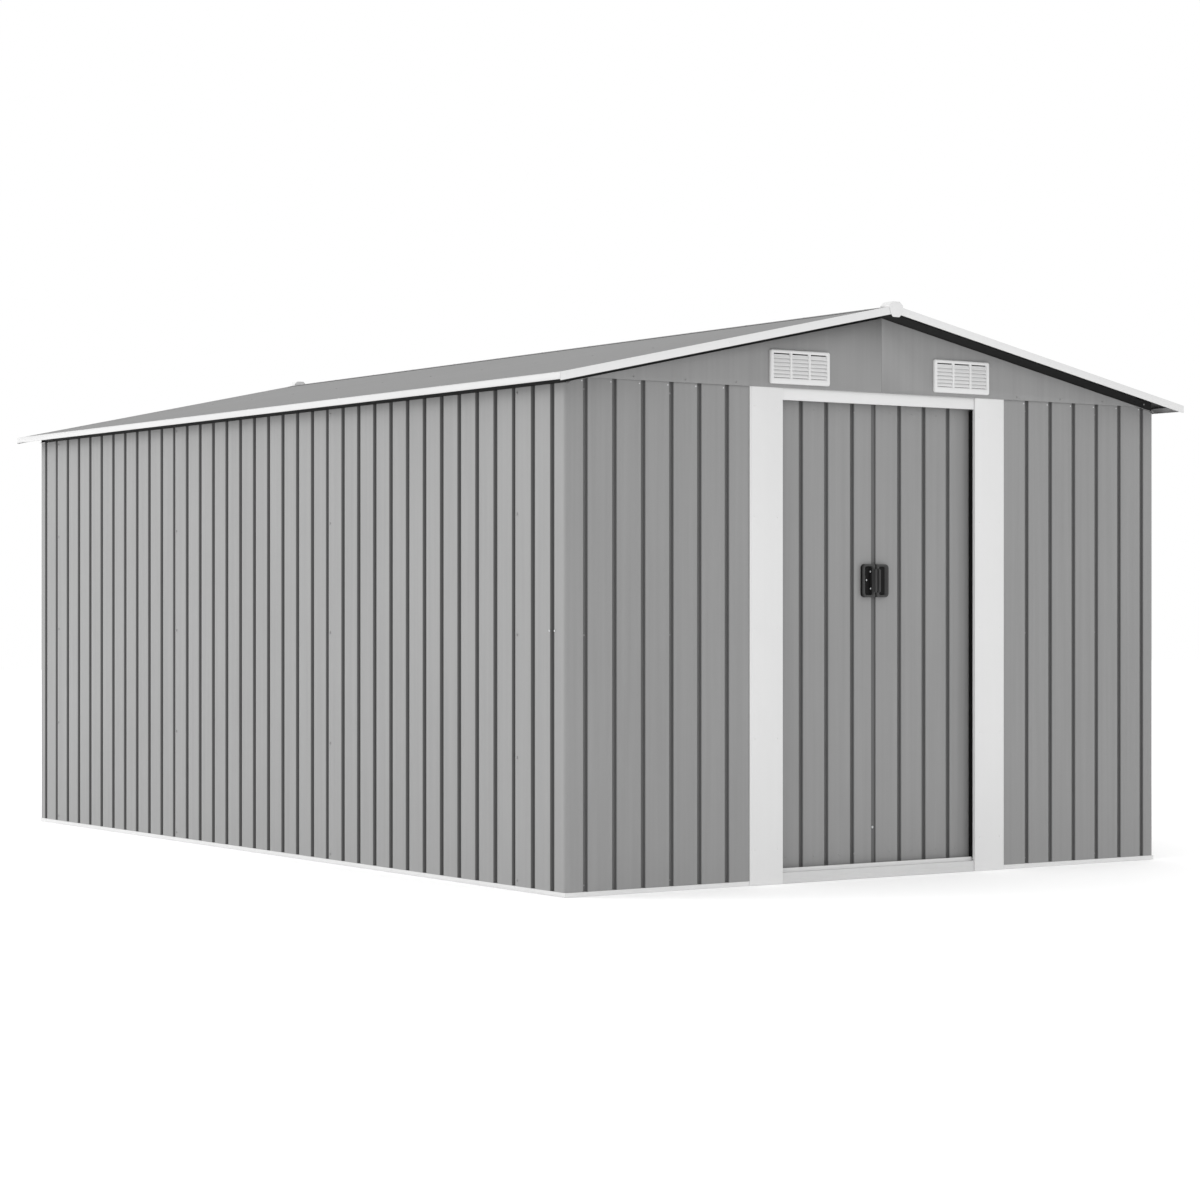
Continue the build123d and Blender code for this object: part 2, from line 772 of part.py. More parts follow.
for side, hand, grooves in (("left", -1, door_grooves_left), ("right", 1, door_grooves_right)):
    inside = Side.RIGHT if hand < 0 else Side.LEFT
    with BuildPart() as leaf:
        with BuildSketch(Plane.XY.offset(leaf_bottom)):
            with BuildLine():
                Polyline(*leaf_line(hand, grooves))
                offset(amount=sheet, side=inside, closed=True, kind=Kind.INTERSECTION)
            make_face()
        extrude(amount=leaf_top - leaf_bottom)
    save(leaf.part, "door_" + side)

    rail_inner = door_edge + door_step
    rail_ends = sorted((hand * rail_inner, hand * (leaf_end - door_step)))
    upper_rail_top = header_bottom - track_running_gap
    lower_rail_bottom = rib_top + track_running_gap
    rail_strips = []
    for foot in (upper_rail_top - door_rail, lower_rail_bottom):
        head = foot + door_rail
        line = [(leaf_rail_back, head), (leaf_back, head), (leaf_back, foot), (leaf_rail_back, foot)]
        rail_strips.append((from_front, line, *rail_ends))
    folded("door_" + side + "_rails", rail_strips, side=Side.LEFT)

    shoe_places = [hand * (rail_inner + shoe_inset), hand * (leaf_end - shoe_inset)]
    hook_top = header_bottom + track_lip + seat + shoe_leg
    hook_back = lip_face + sheet + shoe_running_gap
    stem_back = lip_face - shoe_running_gap
    guide_back = rib_face + guide_rib + shoe_running_gap
    with BuildPart() as shoes:
        for middle in shoe_places:
            with BuildSketch(from_front.offset(middle - shoe_width / 2)):
                with BuildLine():
                    Polyline(
                        (leaf_back, upper_rail_top + seat),
                        (leaf_back, hook_top),
                        (hook_back + shoe_leg, hook_top),
                        (hook_back + shoe_leg, header_bottom + sheet + shoe_running_gap),
                        (hook_back, header_bottom + sheet + shoe_running_gap),
                        (hook_back, hook_top - shoe_leg),
                        (stem_back, hook_top - shoe_leg),
                        (stem_back, upper_rail_top + seat),
                        close=True,
                    )
                make_face()
                with BuildLine():
                    Polyline(
                        (leaf_back, lower_rail_bottom - seat),
                        (leaf_back, leaf_bottom),
                        (stem_back, leaf_bottom),
                        (stem_back, lower_rail_bottom - seat - shoe_leg),
                        (guide_back, lower_rail_bottom - seat - shoe_leg),
                        (guide_back, leaf_bottom),
                        (guide_back + shoe_leg, leaf_bottom),
                        (guide_back + shoe_leg, lower_rail_bottom - seat),
                        close=True,
                    )
                make_face()
            extrude(amount=shoe_width)
    save(shoes.part, "door_" + side + "_shoes")

    handle_face = Plane(
        origin=(0, leaf_face - half_length - seat, handle_middle), x_dir=(1, 0, 0), z_dir=(0, -1, 0)
    )
    half_handle = handle_size / 2
    cup_inner = handle_gap / 2 + grip_width
    cup_outer = half_handle - handle_rim
    cup_middle = hand * (cup_inner + cup_outer) / 2
    with BuildPart() as handle:
        with BuildSketch(handle_face):
            RectangleRounded(handle_size, handle_size, handle_corner)
            with Locations((-hand * (handle_size - handle_gap) / 2, 0)):
                Rectangle(handle_size, handle_size, mode=Mode.SUBTRACT)
        extrude(amount=handle_depth)
        with BuildSketch(handle_face.offset(handle_depth)):
            with Locations((cup_middle, 0)):
                RectangleRounded(cup_outer - cup_inner, handle_size - 2 * handle_rim, cup_corner)
        extrude(amount=-cup_depth, mode=Mode.SUBTRACT)
        with BuildSketch(handle_face.offset(handle_depth)):
            with Locations((hand * (handle_gap / 2 + grip_width / 2), 0)):
                RectangleRounded(grip_width, grip_height, grip_round)
        extrude(amount=grip_rise)
    save(handle.part, "handle_" + side)
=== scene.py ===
"""Looks of a metal storage shed: ribbed sheet, folded white trims, vents and sliding doors.

Metres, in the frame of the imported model: X runs along the front, Y along the sides and Z up, with
the doors in the wall at -Y. Depth always means the distance inward from the outer face of a wall.
"""
from math import radians

import bmesh
import bpy
import numpy as np
from bpy.props import FloatProperty, FloatVectorProperty, IntProperty, PointerProperty
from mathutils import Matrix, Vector


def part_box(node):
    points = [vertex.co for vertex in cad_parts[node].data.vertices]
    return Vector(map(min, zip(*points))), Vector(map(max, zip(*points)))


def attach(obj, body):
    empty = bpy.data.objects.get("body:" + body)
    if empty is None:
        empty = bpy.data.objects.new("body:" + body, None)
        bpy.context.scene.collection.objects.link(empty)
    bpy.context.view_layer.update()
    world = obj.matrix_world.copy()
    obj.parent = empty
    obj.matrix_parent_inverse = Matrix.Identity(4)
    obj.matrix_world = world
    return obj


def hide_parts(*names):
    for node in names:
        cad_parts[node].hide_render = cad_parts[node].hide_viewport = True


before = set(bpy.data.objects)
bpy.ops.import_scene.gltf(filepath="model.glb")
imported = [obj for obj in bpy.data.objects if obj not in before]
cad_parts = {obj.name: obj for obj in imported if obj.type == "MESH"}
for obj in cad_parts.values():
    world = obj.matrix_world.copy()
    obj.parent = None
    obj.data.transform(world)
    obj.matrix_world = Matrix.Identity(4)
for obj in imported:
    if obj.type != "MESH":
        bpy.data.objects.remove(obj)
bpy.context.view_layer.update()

bl_info = {
    "name": "Metal storage shed",
    "version": (1, 0, 0),
    "blender": (4, 5, 0),
    "location": "View3D > Sidebar > Shed",
    "description": "Ribbed sheets, trims, vents, fasteners and painted finishes of a storage shed",
    "category": "Add Mesh",
}

# Section of the sheets, as rolled
SHEET = 0.0012
SEAT = 0.0003
GROOVE_DEPTH = 0.011
GROOVE_MOUTH = 0.016
GROOVE_FLOOR = 0.008
CORNER_BEND = 0.012
LAP_WIDTH = 0.020
LAP_DEPTH = SHEET + SEAT
LAP_BEND = 0.002
STEP_DEPTH = SHEET + 0.005
GABLE_LAP = 0.016
# The painted shade in the recess behind a gable's face ends this far in front of the wall's face
RECESS_EDGE = 0.003
# Painted shade on the grooves' sides and floors: depth behind the face, and how dark it is painted
# there
GROOVE_SHADE_DEPTHS = (0.0, 0.003, STEP_DEPTH, GROOVE_DEPTH)
GROOVE_SHADE_SHARES = (0.0, 0.85, 0.62, 0.55)
# On the two long walls the folds are rounder and the painted shade reaches out over them
SIDE_FOLD = 2.0
SIDE_GROOVE_SHADE_DEPTHS = (0.0002, 0.0006, GROOVE_DEPTH / 2, GROOVE_DEPTH)
SIDE_GROOVE_SHADE_SHARES = (0.0, 0.90, 0.84, 0.72)

WHITE_PIECES = (
    "base_rail_back", "base_rail_front_left", "base_rail_front_right", "base_rail_left",
    "base_rail_right", "door_lintel", "eave_trim_left", "eave_trim_right", "jamb_left",
    "jamb_right", "lower_track", "ridge_end_back", "ridge_end_front", "verge_trims_back",
    "verge_trims_front",
)
GABLES = ("gable_back_left", "gable_back_right", "gable_front_left", "gable_front_right")
ZINC_PIECES = (
    "door_left_rails", "door_right_rails", "header_track", "mid_rails", "purlins", "ridge_beam",
)
ROOF_PIECES = ("roof_left", "roof_right", "ridge_cap")
# The shed's ends and sides with the sign of y or x that each looks to
ENDS = (("front", -1), ("back", 1))
SIDES = (("left", -1), ("right", 1))


def corners_of(node):
    """Lowest and highest corner of a CAD node as arrays."""
    low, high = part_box(node)
    return np.array(low), np.array(high)


def points_of(node):
    """All points of a CAD node as an (n, 3) array."""
    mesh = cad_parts[node].data
    flat = np.empty(len(mesh.vertices) * 3)
    mesh.vertices.foreach_get("co", flat)
    return flat.reshape(-1, 3)


HALF_WIDTH = corners_of("side_sheet_right_1")[1][0]
HALF_LENGTH = corners_of("back_sheet")[1][1]
WALL_BOTTOM = corners_of("back_sheet")[0][2]
WALL_TOP = corners_of("back_sheet")[1][2]
GABLE_BOTTOM = WALL_TOP - GABLE_LAP


def spread(x, y, z):
    """Points from three places, each of them a number or an array."""
    return np.stack(np.broadcast_arrays(x, y, z), axis=-1)


def top_edge(node):
    """Places along x where a sheet's points lie and the greatest height at each, as two arrays."""
    points = points_of(node)
    places, index = np.unique(np.round(points[:, 0], 4), return_inverse=True)
    heights = np.zeros(len(places))
    np.maximum.at(heights, index.ravel(), points[:, 2])
    return places, heights


class Wall:
    """An upright face seen from above: a first corner, the way along it and the way behind it."""

    def __init__(self, corner, along, length):
        self.corner = np.array(corner)
        self.along = np.array(along, float)
        self.inward = np.array([-along[1], along[0]], float)
        self.length = length

    def place(self, distance, depth):
        """Plan point = corner + distance * along + depth * inward, for whole arrays."""
        distance, depth = np.broadcast_arrays(distance, depth)
        return self.corner + distance[..., None] * self.along + depth[..., None] * self.inward

    def spots(self, distance, depth, height):
        """Points at a distance, depth and height, each of them a number or an array."""
        x, y = np.moveaxis(self.place(distance, depth), -1, 0)
        return spread(x, y, height)

    def read(self, node):
        """Distances and depths against this wall of the points along a CAD node's lower edge."""
        points = points_of(node)
        foot = points[points[:, 2] < points[:, 2].min() + SEAT, :2] - self.corner
        return foot @ self.along, foot @ self.inward


FRONT = Wall((-HALF_WIDTH, -HALF_LENGTH), (1, 0), 2 * HALF_WIDTH)
RIGHT = Wall((HALF_WIDTH, -HALF_LENGTH), (0, 1), 2 * HALF_LENGTH)
BACK = Wall((HALF_WIDTH, HALF_LENGTH), (-1, 0), 2 * HALF_WIDTH)
LEFT = Wall((-HALF_WIDTH, HALF_LENGTH), (0, -1), 2 * HALF_LENGTH)
DOOR_FACE = corners_of("door_left")[0][1]
DOORS = Wall((-HALF_WIDTH, DOOR_FACE), (1, 0), 2 * HALF_WIDTH)


def groove_middles(node, wall):
    """Middles of a sheet's grooves, from its points at the grooves' depth, which lie in pairs."""
    distance, depth = wall.read(node)
    clear = 2 * GROOVE_DEPTH
    floor = np.abs(depth - GROOVE_DEPTH) < SEAT / 2
    floor &= (distance > clear) & (distance < wall.length - clear)
    edges = np.unique(np.round(distance[floor], 5))
    return edges.reshape(-1, 2).mean(axis=1)


def groove_points(wall, middles, face=0.0):
    """Four plan points to each groove: mouth, floor, floor, mouth."""
    across = np.array([-GROOVE_MOUTH, -GROOVE_FLOOR, GROOVE_FLOOR, GROOVE_MOUTH]) / 2
    depth = face + np.array([0, GROOVE_DEPTH, GROOVE_DEPTH, 0])
    return wall.place(middles[:, None] + across, np.tile(depth, (len(middles), 1))).reshape(-1, 2)


def sheet_plan(node, walls, lapped=True):
    """Plan corners of a ribbed sheet's outer line along a wall, or round the corner of two."""
    first = walls[0].read(node)[0].min()
    line = [walls[0].place(first, 0.0)[None]]
    for wall in walls:
        middles = groove_middles(node, wall)
        line.append(groove_points(wall, middles))
        if wall is not walls[-1]:
            line.append(wall.place(wall.length, 0.0)[None])
    last = walls[-1]
    if lapped:
        slope = (GROOVE_MOUTH - GROOVE_FLOOR) / 2 / GROOVE_DEPTH
        foot = middles[-1] + GROOVE_MOUTH / 2 - slope * LAP_DEPTH
        line[-1] = line[-1][:-1]
        line.append(last.place(foot, LAP_DEPTH)[None])
        line.append(last.place(middles[-1] + GROOVE_MOUTH / 2 + LAP_WIDTH, LAP_DEPTH)[None])
    else:
        line.append(last.place(last.read(node)[0].max(), 0.0)[None])
    return np.concatenate(line)


def bent(corners, radius, steps=3, fill=4, flat_from=0.03):
    """A line of straight runs joined by round bends, with the left-hand normal at each point.

    A bend by the angle turn starts and ends radius * tan(turn / 2) from its corner. Its points are
    centre - radius * side * normal, where the normal turns evenly from one run to the next. Each
    run carries fill points. Their weight is sin(pi * share of the run) on runs longer than
    flat_from, where a thin sheet dents, and 0 on the short ones. The last array numbers the runs.
    """
    runs = np.diff(corners, axis=0)
    length = np.linalg.norm(runs, axis=1)
    along = runs / length[:, None]
    left = np.stack([-along[:, 1], along[:, 0]], axis=1)
    before, after = along[:-1], along[1:]
    cross = before[:, 0] * after[:, 1] - before[:, 1] * after[:, 0]
    turn = np.arctan2(cross, (before * after).sum(axis=1))
    half_turn = np.tan(np.abs(turn) / 2)
    room = 0.45 * np.minimum(length[:-1], length[1:])
    size = np.minimum(np.broadcast_to(radius, turn.shape), room / np.maximum(half_turn, 1e-6))
    reach = size * half_turn
    side = np.sign(turn)
    starts = corners[1:-1] - along[:-1] * reach[:, None]
    centre = starts + left[:-1] * (side * size)[:, None]
    angle = turn[:, None] * np.linspace(0, 1, steps + 1)
    cos, sin = np.cos(angle), np.sin(angle)
    x, y = left[:-1, :1], left[:-1, 1:]
    turned = np.stack([cos * x - sin * y, sin * x + cos * y], axis=-1)
    arcs = centre[:, None] - (side * size)[:, None, None] * turned
    begin = np.concatenate([corners[:1], corners[1:-1] + along[1:] * reach[:, None]])
    end = np.concatenate([starts, corners[-1:]])
    share = np.linspace(0, 1, fill + 2)[1:-1]
    inside = begin[:, None] + (end - begin)[:, None] * share[None, :, None]
    weight = np.where(length > flat_from, 1.0, 0.0)[:, None] * np.sin(np.pi * share)
    body = np.concatenate([inside[:-1], arcs], axis=1).reshape(-1, 2)
    straight = np.repeat(left[:-1, None], fill, axis=1)
    normals = np.concatenate([straight, turned], axis=1).reshape(-1, 2)
    weights = np.concatenate([weight[:-1], np.zeros_like(angle)], axis=1).ravel()
    numbers = np.repeat(np.arange(len(runs)), fill + steps + 1)[: len(weights)]
    line = np.concatenate([corners[:1], body, inside[-1], corners[-1:]])
    normals = np.concatenate([left[:1], normals, np.repeat(left[-1:], fill + 1, axis=0)])
    weights = np.concatenate([[0], weights, weight[-1], [0]])
    numbers = np.concatenate([[0], numbers, np.full(fill + 1, len(runs) - 1)])
    return line, normals, weights, numbers


def grid_faces(index):
    """Quads of a grid of point numbers, all taken round the same way."""
    corners = [index[:-1, :-1], index[:-1, 1:], index[1:, 1:], index[1:, :-1]]
    return np.stack(corners, axis=-1).reshape(-1, 4)


def outward(points, quads):
    """The quads as they are, or turned round where the solid's signed volume is below zero."""
    a, b, c, d = (points[quads[:, k]] for k in range(4))
    volume = np.einsum("ij,ij->", a, np.cross(b, c)) + np.einsum("ij,ij->", a, np.cross(c, d))
    return quads if volume > 0 else quads[:, ::-1]


def made(name, points, quads, smooth=40.0, groove=None):
    """A mesh object from points and quads, smooth except where faces meet at more than that angle.

    groove is how dark the painted shade in the grooves is at each point, from 0 on the flats to 1.
    """
    mesh = bpy.data.meshes.new(name)
    mesh.from_pydata(points.tolist(), [], outward(points, quads).tolist())
    if groove is not None:
        mesh.attributes.new("groove", "FLOAT", "POINT").data.foreach_set("value", groove)
    mesh.shade_smooth()
    mesh.set_sharp_from_angle(angle=radians(smooth))
    piece = bpy.data.objects.new(name, mesh)
    bpy.context.scene.collection.objects.link(piece)
    return piece


def shell(outer, inner):
    """Points and quads of a closed plate between two (rows, columns, 3) grids of the same size."""
    rows, columns = outer.shape[:2]
    front = np.arange(rows * columns).reshape(rows, columns)
    back = front + rows * columns
    rim = np.concatenate([front[0], front[1:, -1], front[-1, -2::-1], front[-2::-1, 0]])
    walls = np.stack([rim, rim + rows * columns])
    faces = [grid_faces(front), grid_faces(back)[:, ::-1], grid_faces(walls)[:, ::-1]]
    return np.concatenate([outer.reshape(-1, 3), inner.reshape(-1, 3)]), np.concatenate(faces)


def closed_loops(loops):
    """Points and quads of a solid through closed loops of equal length, with flat ends of quads.

    The end loops are filled by strips that join point k of one side to point -k of the other.
    """
    rows, columns = loops.shape[:2]
    index = np.arange(rows * columns).reshape(rows, columns)
    tube = np.concatenate([index, index[:, :1]], axis=1)
    half = columns // 2
    first = np.stack([index[0, :half], index[0, ::-1][:half]])
    last = np.stack([index[-1, :half], index[-1, ::-1][:half]])
    quads = np.concatenate([grid_faces(tube), grid_faces(first), grid_faces(last)[:, ::-1]])
    return loops.reshape(-1, 3), quads


def bar(x, y, z):
    """A solid between two equal flat loops; x, y or z is a column with a value for each loop."""
    return closed_loops(spread(x, y, z))


def closed_ring(loops):
    """Points and quads of a solid ring through closed loops, the last joined to the first."""
    rows, columns = loops.shape[:2]
    index = np.arange(rows * columns).reshape(rows, columns)
    ring = np.concatenate([index, index[:1]])
    return loops.reshape(-1, 3), grid_faces(np.concatenate([ring, ring[:, :1]], axis=1))


CORNER_SIGNS = np.array([[1, -1], [1, 1], [-1, 1], [-1, -1]])


def rounded_loop(width, height, radii, steps=4):
    """A rounded rectangle about the origin as 4 * (steps + 1) points, from the lower right corner.

    radii is one radius or one for each corner, and a point is centre + radius * (cos, sin).
    """
    radii = np.broadcast_to(radii, 4)[:, None]
    angle = np.radians(np.array([-90, 0, 90, 180])[:, None] + np.linspace(0, 90, steps + 1))
    centre = CORNER_SIGNS * (np.array([width, height]) / 2 - radii)
    arcs = centre[:, None] + radii[:, None] * np.stack([np.cos(angle), np.sin(angle)], axis=-1)
    return arcs.reshape(-1, 2)


def upright(loop, y):
    """Loop points (x, z) set at one or many y."""
    return spread(loop[..., 0], y, loop[..., 1])


def turned_parts(profile, places, axes, sides=12):
    """Copies of a turned part, whose last ring closes the pole.

    A point is place + rise * axis + radius * (cos * across + sin * aside), for all places at once.
    """
    axes = np.asarray(axes, float)
    guide = np.where(np.abs(axes[:, 2:]) < 0.9, [[0.0, 0.0, 1.0]], [[1.0, 0.0, 0.0]])
    across = np.cross(guide, axes)
    across /= np.linalg.norm(across, axis=1, keepdims=True)
    aside = np.cross(axes, across)
    angle = 2 * np.pi * (np.arange(sides) + 0.5) / sides
    radius, rise = np.array(profile).T
    ring = np.cos(angle)[:, None] * across[:, None] + np.sin(angle)[:, None] * aside[:, None]
    points = (
        np.asarray(places)[:, None, None]
        + rise[None, :, None, None] * axes[:, None, None]
        + radius[None, :, None, None] * ring[:, None]
    )
    _, quads = closed_loops(points[0])
    shift = np.arange(len(points)) * points.shape[1] * sides
    return points.reshape(-1, 3), (quads[None] + shift[:, None, None]).reshape(-1, 4)


def joined(parts):
    """One array of points and one of quads from several."""
    counts = np.cumsum([0] + [len(points) for points, _ in parts[:-1]])
    points = np.concatenate([points for points, _ in parts])
    return points, np.concatenate([quads + count for (_, quads), count in zip(parts, counts)])


def dent(weight, number, height, looks):
    """Depth of the waves of thin sheet: dent depth * weight * (0.55 + two sines of the height).

    Their phase differs from run to run, so no two flats look alike.
    """
    phase = 2.4 * number
    wave = np.sin(2 * np.pi * height / looks.dent_length + phase)
    slow = np.sin(2 * np.pi * height / (3.1 * looks.dent_length) - 1.7 * phase)
    return looks.dent_depth * weight * (0.55 + 0.25 * wave + 0.2 * slow)


def on_long_wall(line):
    """Which plan points belong to the grooves and flats of the two long walls."""
    return HALF_WIDTH - np.abs(line[:, 0]) < GROOVE_DEPTH + SEAT


def ribbed(name, node, corners, groove_depth, looks, bend_at=None):
    """A ribbed sheet: its plan line carried up to the node's upper edge, its flats dented inward.

    A point is line + normal * dent at the height bottom + share * (upper edge - bottom). The
    function groove_depth gives how deep each point of the line lies behind the face.
    """
    radius = np.where(on_long_wall(corners[1:-1]), SIDE_FOLD, 1.0) * looks.fold_radius
    radius[np.abs(groove_depth(corners[1:-1]) - LAP_DEPTH) < SEAT] = LAP_BEND
    if bend_at is not None:
        distance = np.linalg.norm(corners[1:-1] - bend_at, axis=1)
        radius[distance.argmin()] = CORNER_BEND
    line, normal, weight, number = bent(corners, radius)
    bottom = corners_of(node)[0][2]
    top = np.interp(line[:, 0], *top_edge(node))
    share = np.linspace(0, 1, looks.rows)[:, None]
    height = bottom + share * (top - bottom)
    depth = dent(weight, number, height, looks) * np.sin(np.pi * share) ** 0.5
    outer = np.concatenate([line + normal * depth[..., None], height[..., None]], axis=-1)
    inner = outer.copy()
    inner[..., :2] += normal * SHEET
    # Painted shade in the grooves: darker the deeper a point lies, and wider on the long walls
    depth = groove_depth(line)
    groove = np.where(
        on_long_wall(line), np.interp(depth, SIDE_GROOVE_SHADE_DEPTHS, SIDE_GROOVE_SHADE_SHARES),
        np.interp(depth, GROOVE_SHADE_DEPTHS, GROOVE_SHADE_SHARES),
    )
    points, quads = shell(outer, inner)
    return made(name, points, quads, groove=np.tile(groove, 2 * looks.rows))


def behind_walls(line):
    """Depth of plan points behind the nearest wall face, and 0 on the shed's round corners."""
    depths = np.stack([HALF_WIDTH - np.abs(line[:, 0]), HALF_LENGTH - np.abs(line[:, 1])])
    return np.where(depths.max(axis=0) < 1.01 * CORNER_BEND, 0.0, depths.min(axis=0))


def behind_doors(line):
    """Depth of plan points behind the doors' face."""
    return line[:, 1] - DOOR_FACE


class Wire:
    """A socket of a node tree. +, - and * with a wire or a number add Math nodes to the tree."""

    def __init__(self, paint, socket):
        self.paint = paint
        self.socket = socket

    def math(self, operation, first, second):
        return self.paint.add("ShaderNodeMath", {"operation": operation}, {0: first, 1: second})

    def __add__(self, other):
        return self.math("ADD", self, other)

    def __sub__(self, other):
        return self.math("SUBTRACT", self, other)

    def __mul__(self, other):
        return self.math("MULTIPLY", self, other)

    def clamp(self):
        return self.paint.add("ShaderNodeClamp", {}, {"Value": self})

    def absolute(self):
        return self.math("ABSOLUTE", self, 0.0)

    def less(self, limit):
        return self.math("LESS_THAN", self, limit)


class Paint:
    """A material and its node tree, ended by one Principled shader."""

    def __init__(self, name):
        self.material = bpy.data.materials.new(name)
        self.material.use_nodes = True
        self.tree = self.material.node_tree
        self.shader = self.tree.nodes["Principled BSDF"]
        self.coords = self.add("ShaderNodeTexCoord", {}, {}, "Object")

    def add(self, kind, settings, inputs, output=0):
        """Make a node from its type, its settings and its inputs' values; give one output."""
        node = self.tree.nodes.new(kind)
        for key, value in settings.items():
            setattr(node, key, value)
        for key, value in inputs.items():
            self.put(node.inputs[key], value)
        return Wire(self, node.outputs[output])

    def put(self, socket, value):
        """Link a wire to a socket, or set its value."""
        if isinstance(value, Wire):
            self.tree.links.new(value.socket, socket)
        else:
            socket.default_value = value

    def stretched(self, scale):
        """Object coordinates times a scale along each axis."""
        inputs = {0: self.coords, 1: scale}
        return self.add("ShaderNodeVectorMath", {"operation": "MULTIPLY"}, inputs)

    def axis(self, letter, vector=None):
        """One part of a vector, which is the object coordinates unless another is given."""
        return self.add("ShaderNodeSeparateXYZ", {}, {"Vector": vector or self.coords}, letter)

    def noise(self, scale, detail=2.0, coords=None):
        inputs = {"Vector": coords or self.coords, "Scale": scale, "Detail": detail}
        return self.add("ShaderNodeTexNoise", {}, inputs)

    def blend(self, factor, first, second):
        """A colour between two, by a factor."""
        node = self.tree.nodes.new("ShaderNodeMix")
        node.data_type = "RGBA"
        self.put(node.inputs[0], factor)
        self.put(node.inputs[6], first)
        self.put(node.inputs[7], second)
        return Wire(self, node.outputs[2])

    def bump(self, height, strength, distance):
        inputs = {"Height": height, "Strength": strength, "Distance": distance}
        return self.add("ShaderNodeBump", {}, inputs)

    def finish(self, **sockets):
        """Set the shader's sockets; an underscore stands for a space in a socket's name."""
        for key, value in sockets.items():
            self.put(self.shader.inputs[key.replace("_", " ")], value)
        return self.material


def opaque(colour, share=1.0):
    """A colour with its alpha, times a share."""
    return (colour[0] * share, colour[1] * share, colour[2] * share, 1.0)


# Grains of the paint's orange peel, and flakes of the zinc's crystals, to a metre
PEEL_SCALE = 420.0
CRYSTAL_SCALE = 70.0
# Upright lines of rolled paint to a metre along x, y and z, and marks of rain on the roof
LINE_SCALE = (55.0, 55.0, 1.2)
RAIN_SCALE = (1.4, 38.0, 1.4)


def cloudy(paint, colour, streak, spread):
    """Factory paint's tone: it drifts in clouds and, by streak, in fine upright lines."""
    cloud = paint.noise(1.7, 4.0)
    lines = paint.noise(1.0, 3.0, paint.stretched(LINE_SCALE))
    tone = (cloud - 0.5) * 1.1 + (lines - 0.5) * streak + 0.5
    return paint.blend(tone.clamp(), opaque(colour, 1 - spread), opaque(colour, 1 + spread))


def painted_sheet(name, colour, roughness, streak, gloss, groove_shade=0.0, recess_shade=None):
    """Factory paint on rolled sheet: cloudy tone, a slight orange peel and painted shade in the
    grooves.

    The recess colour is painted shade behind the gable faces, where a turned edge closes the roof.
    """
    paint = Paint(name)
    base = cloudy(paint, colour, streak, 0.05)
    # Painted shade in the grooves, as dark as the groove attribute and the share give
    if groove_shade:
        groove = paint.add("ShaderNodeAttribute", {"attribute_name": "groove"}, {}, "Fac")
        base = paint.blend(groove * groove_shade, base, opaque(colour, 0.12))
    # Painted shade on the strip behind the gable faces, up to the recess edge
    if recess_shade is not None:
        shaded_recess = paint.axis("Y").absolute().less(HALF_LENGTH + RECESS_EDGE)
        base = paint.blend(shaded_recess, base, opaque(recess_shade))
    peel = paint.noise(PEEL_SCALE, 1.0)
    wear = paint.noise(9.0, 5.0)
    return paint.finish(
        Base_Color=base,
        Roughness=(wear - 0.5) * 0.16 + roughness,
        Normal=paint.bump(peel, 0.06, 0.0004),
        Specular_IOR_Level=gloss,
    )


def zinc_sheet(name, colour, roughness, outer_shade=None):
    """Galvanised steel: flat crystals, each with its own tone and polish.

    The lining colour is painted shade on the outer faces of the rails behind the walls.
    """
    paint = Paint(name)
    wobble = paint.noise(30.0, 2.0)
    inputs = {"Vector": paint.coords, "Scale": CRYSTAL_SCALE}
    crystal = paint.add("ShaderNodeTexVoronoi", {}, inputs, "Color")
    shade = paint.add("ShaderNodeSeparateColor", {}, {"Color": crystal})
    tone = shade * 0.6 + wobble * 0.4
    base = paint.blend(tone, opaque(colour, 0.78), opaque(colour, 1.12))
    metal = 0.85
    # Painted shade on the rails' outer faces behind the walls
    if outer_shade is not None:
        unshaded = paint.axis("X").absolute().less(HALF_WIDTH - GROOVE_DEPTH - LAP_DEPTH - 2 * SEAT)
        base = paint.blend(unshaded, opaque(outer_shade), base)
        metal = unshaded * metal
    return paint.finish(
        Base_Color=base,
        Metallic=metal,
        Roughness=tone * 0.22 + roughness,
        Normal=paint.bump(tone, 0.05, 0.0005),
    )


def moulded_plastic(name, colour, roughness, gloss, floor=None):
    """Moulded plastic with a fine spark-eroded grain.

    floor is the height along y behind which the cup handles are painted darker, a painted shade in
    their hollows.
    """
    paint = Paint(name)
    grit = paint.noise(900.0, 2.0)
    cloud = paint.noise(14.0, 3.0)
    base = paint.blend(cloud, opaque(colour, 0.82), opaque(colour, 1.2))
    if floor is not None:
        # Painted shade in the cups, behind that height
        behind = ((paint.axis("Y") - floor) * 400.0).clamp()
        base = paint.blend(behind, base, opaque(colour, 0.04))
    return paint.finish(
        Base_Color=base,
        Roughness=(cloud - 0.5) * 0.15 + roughness,
        Specular_IOR_Level=gloss,
        Normal=paint.bump(grit, 0.12, 0.0004),
    )


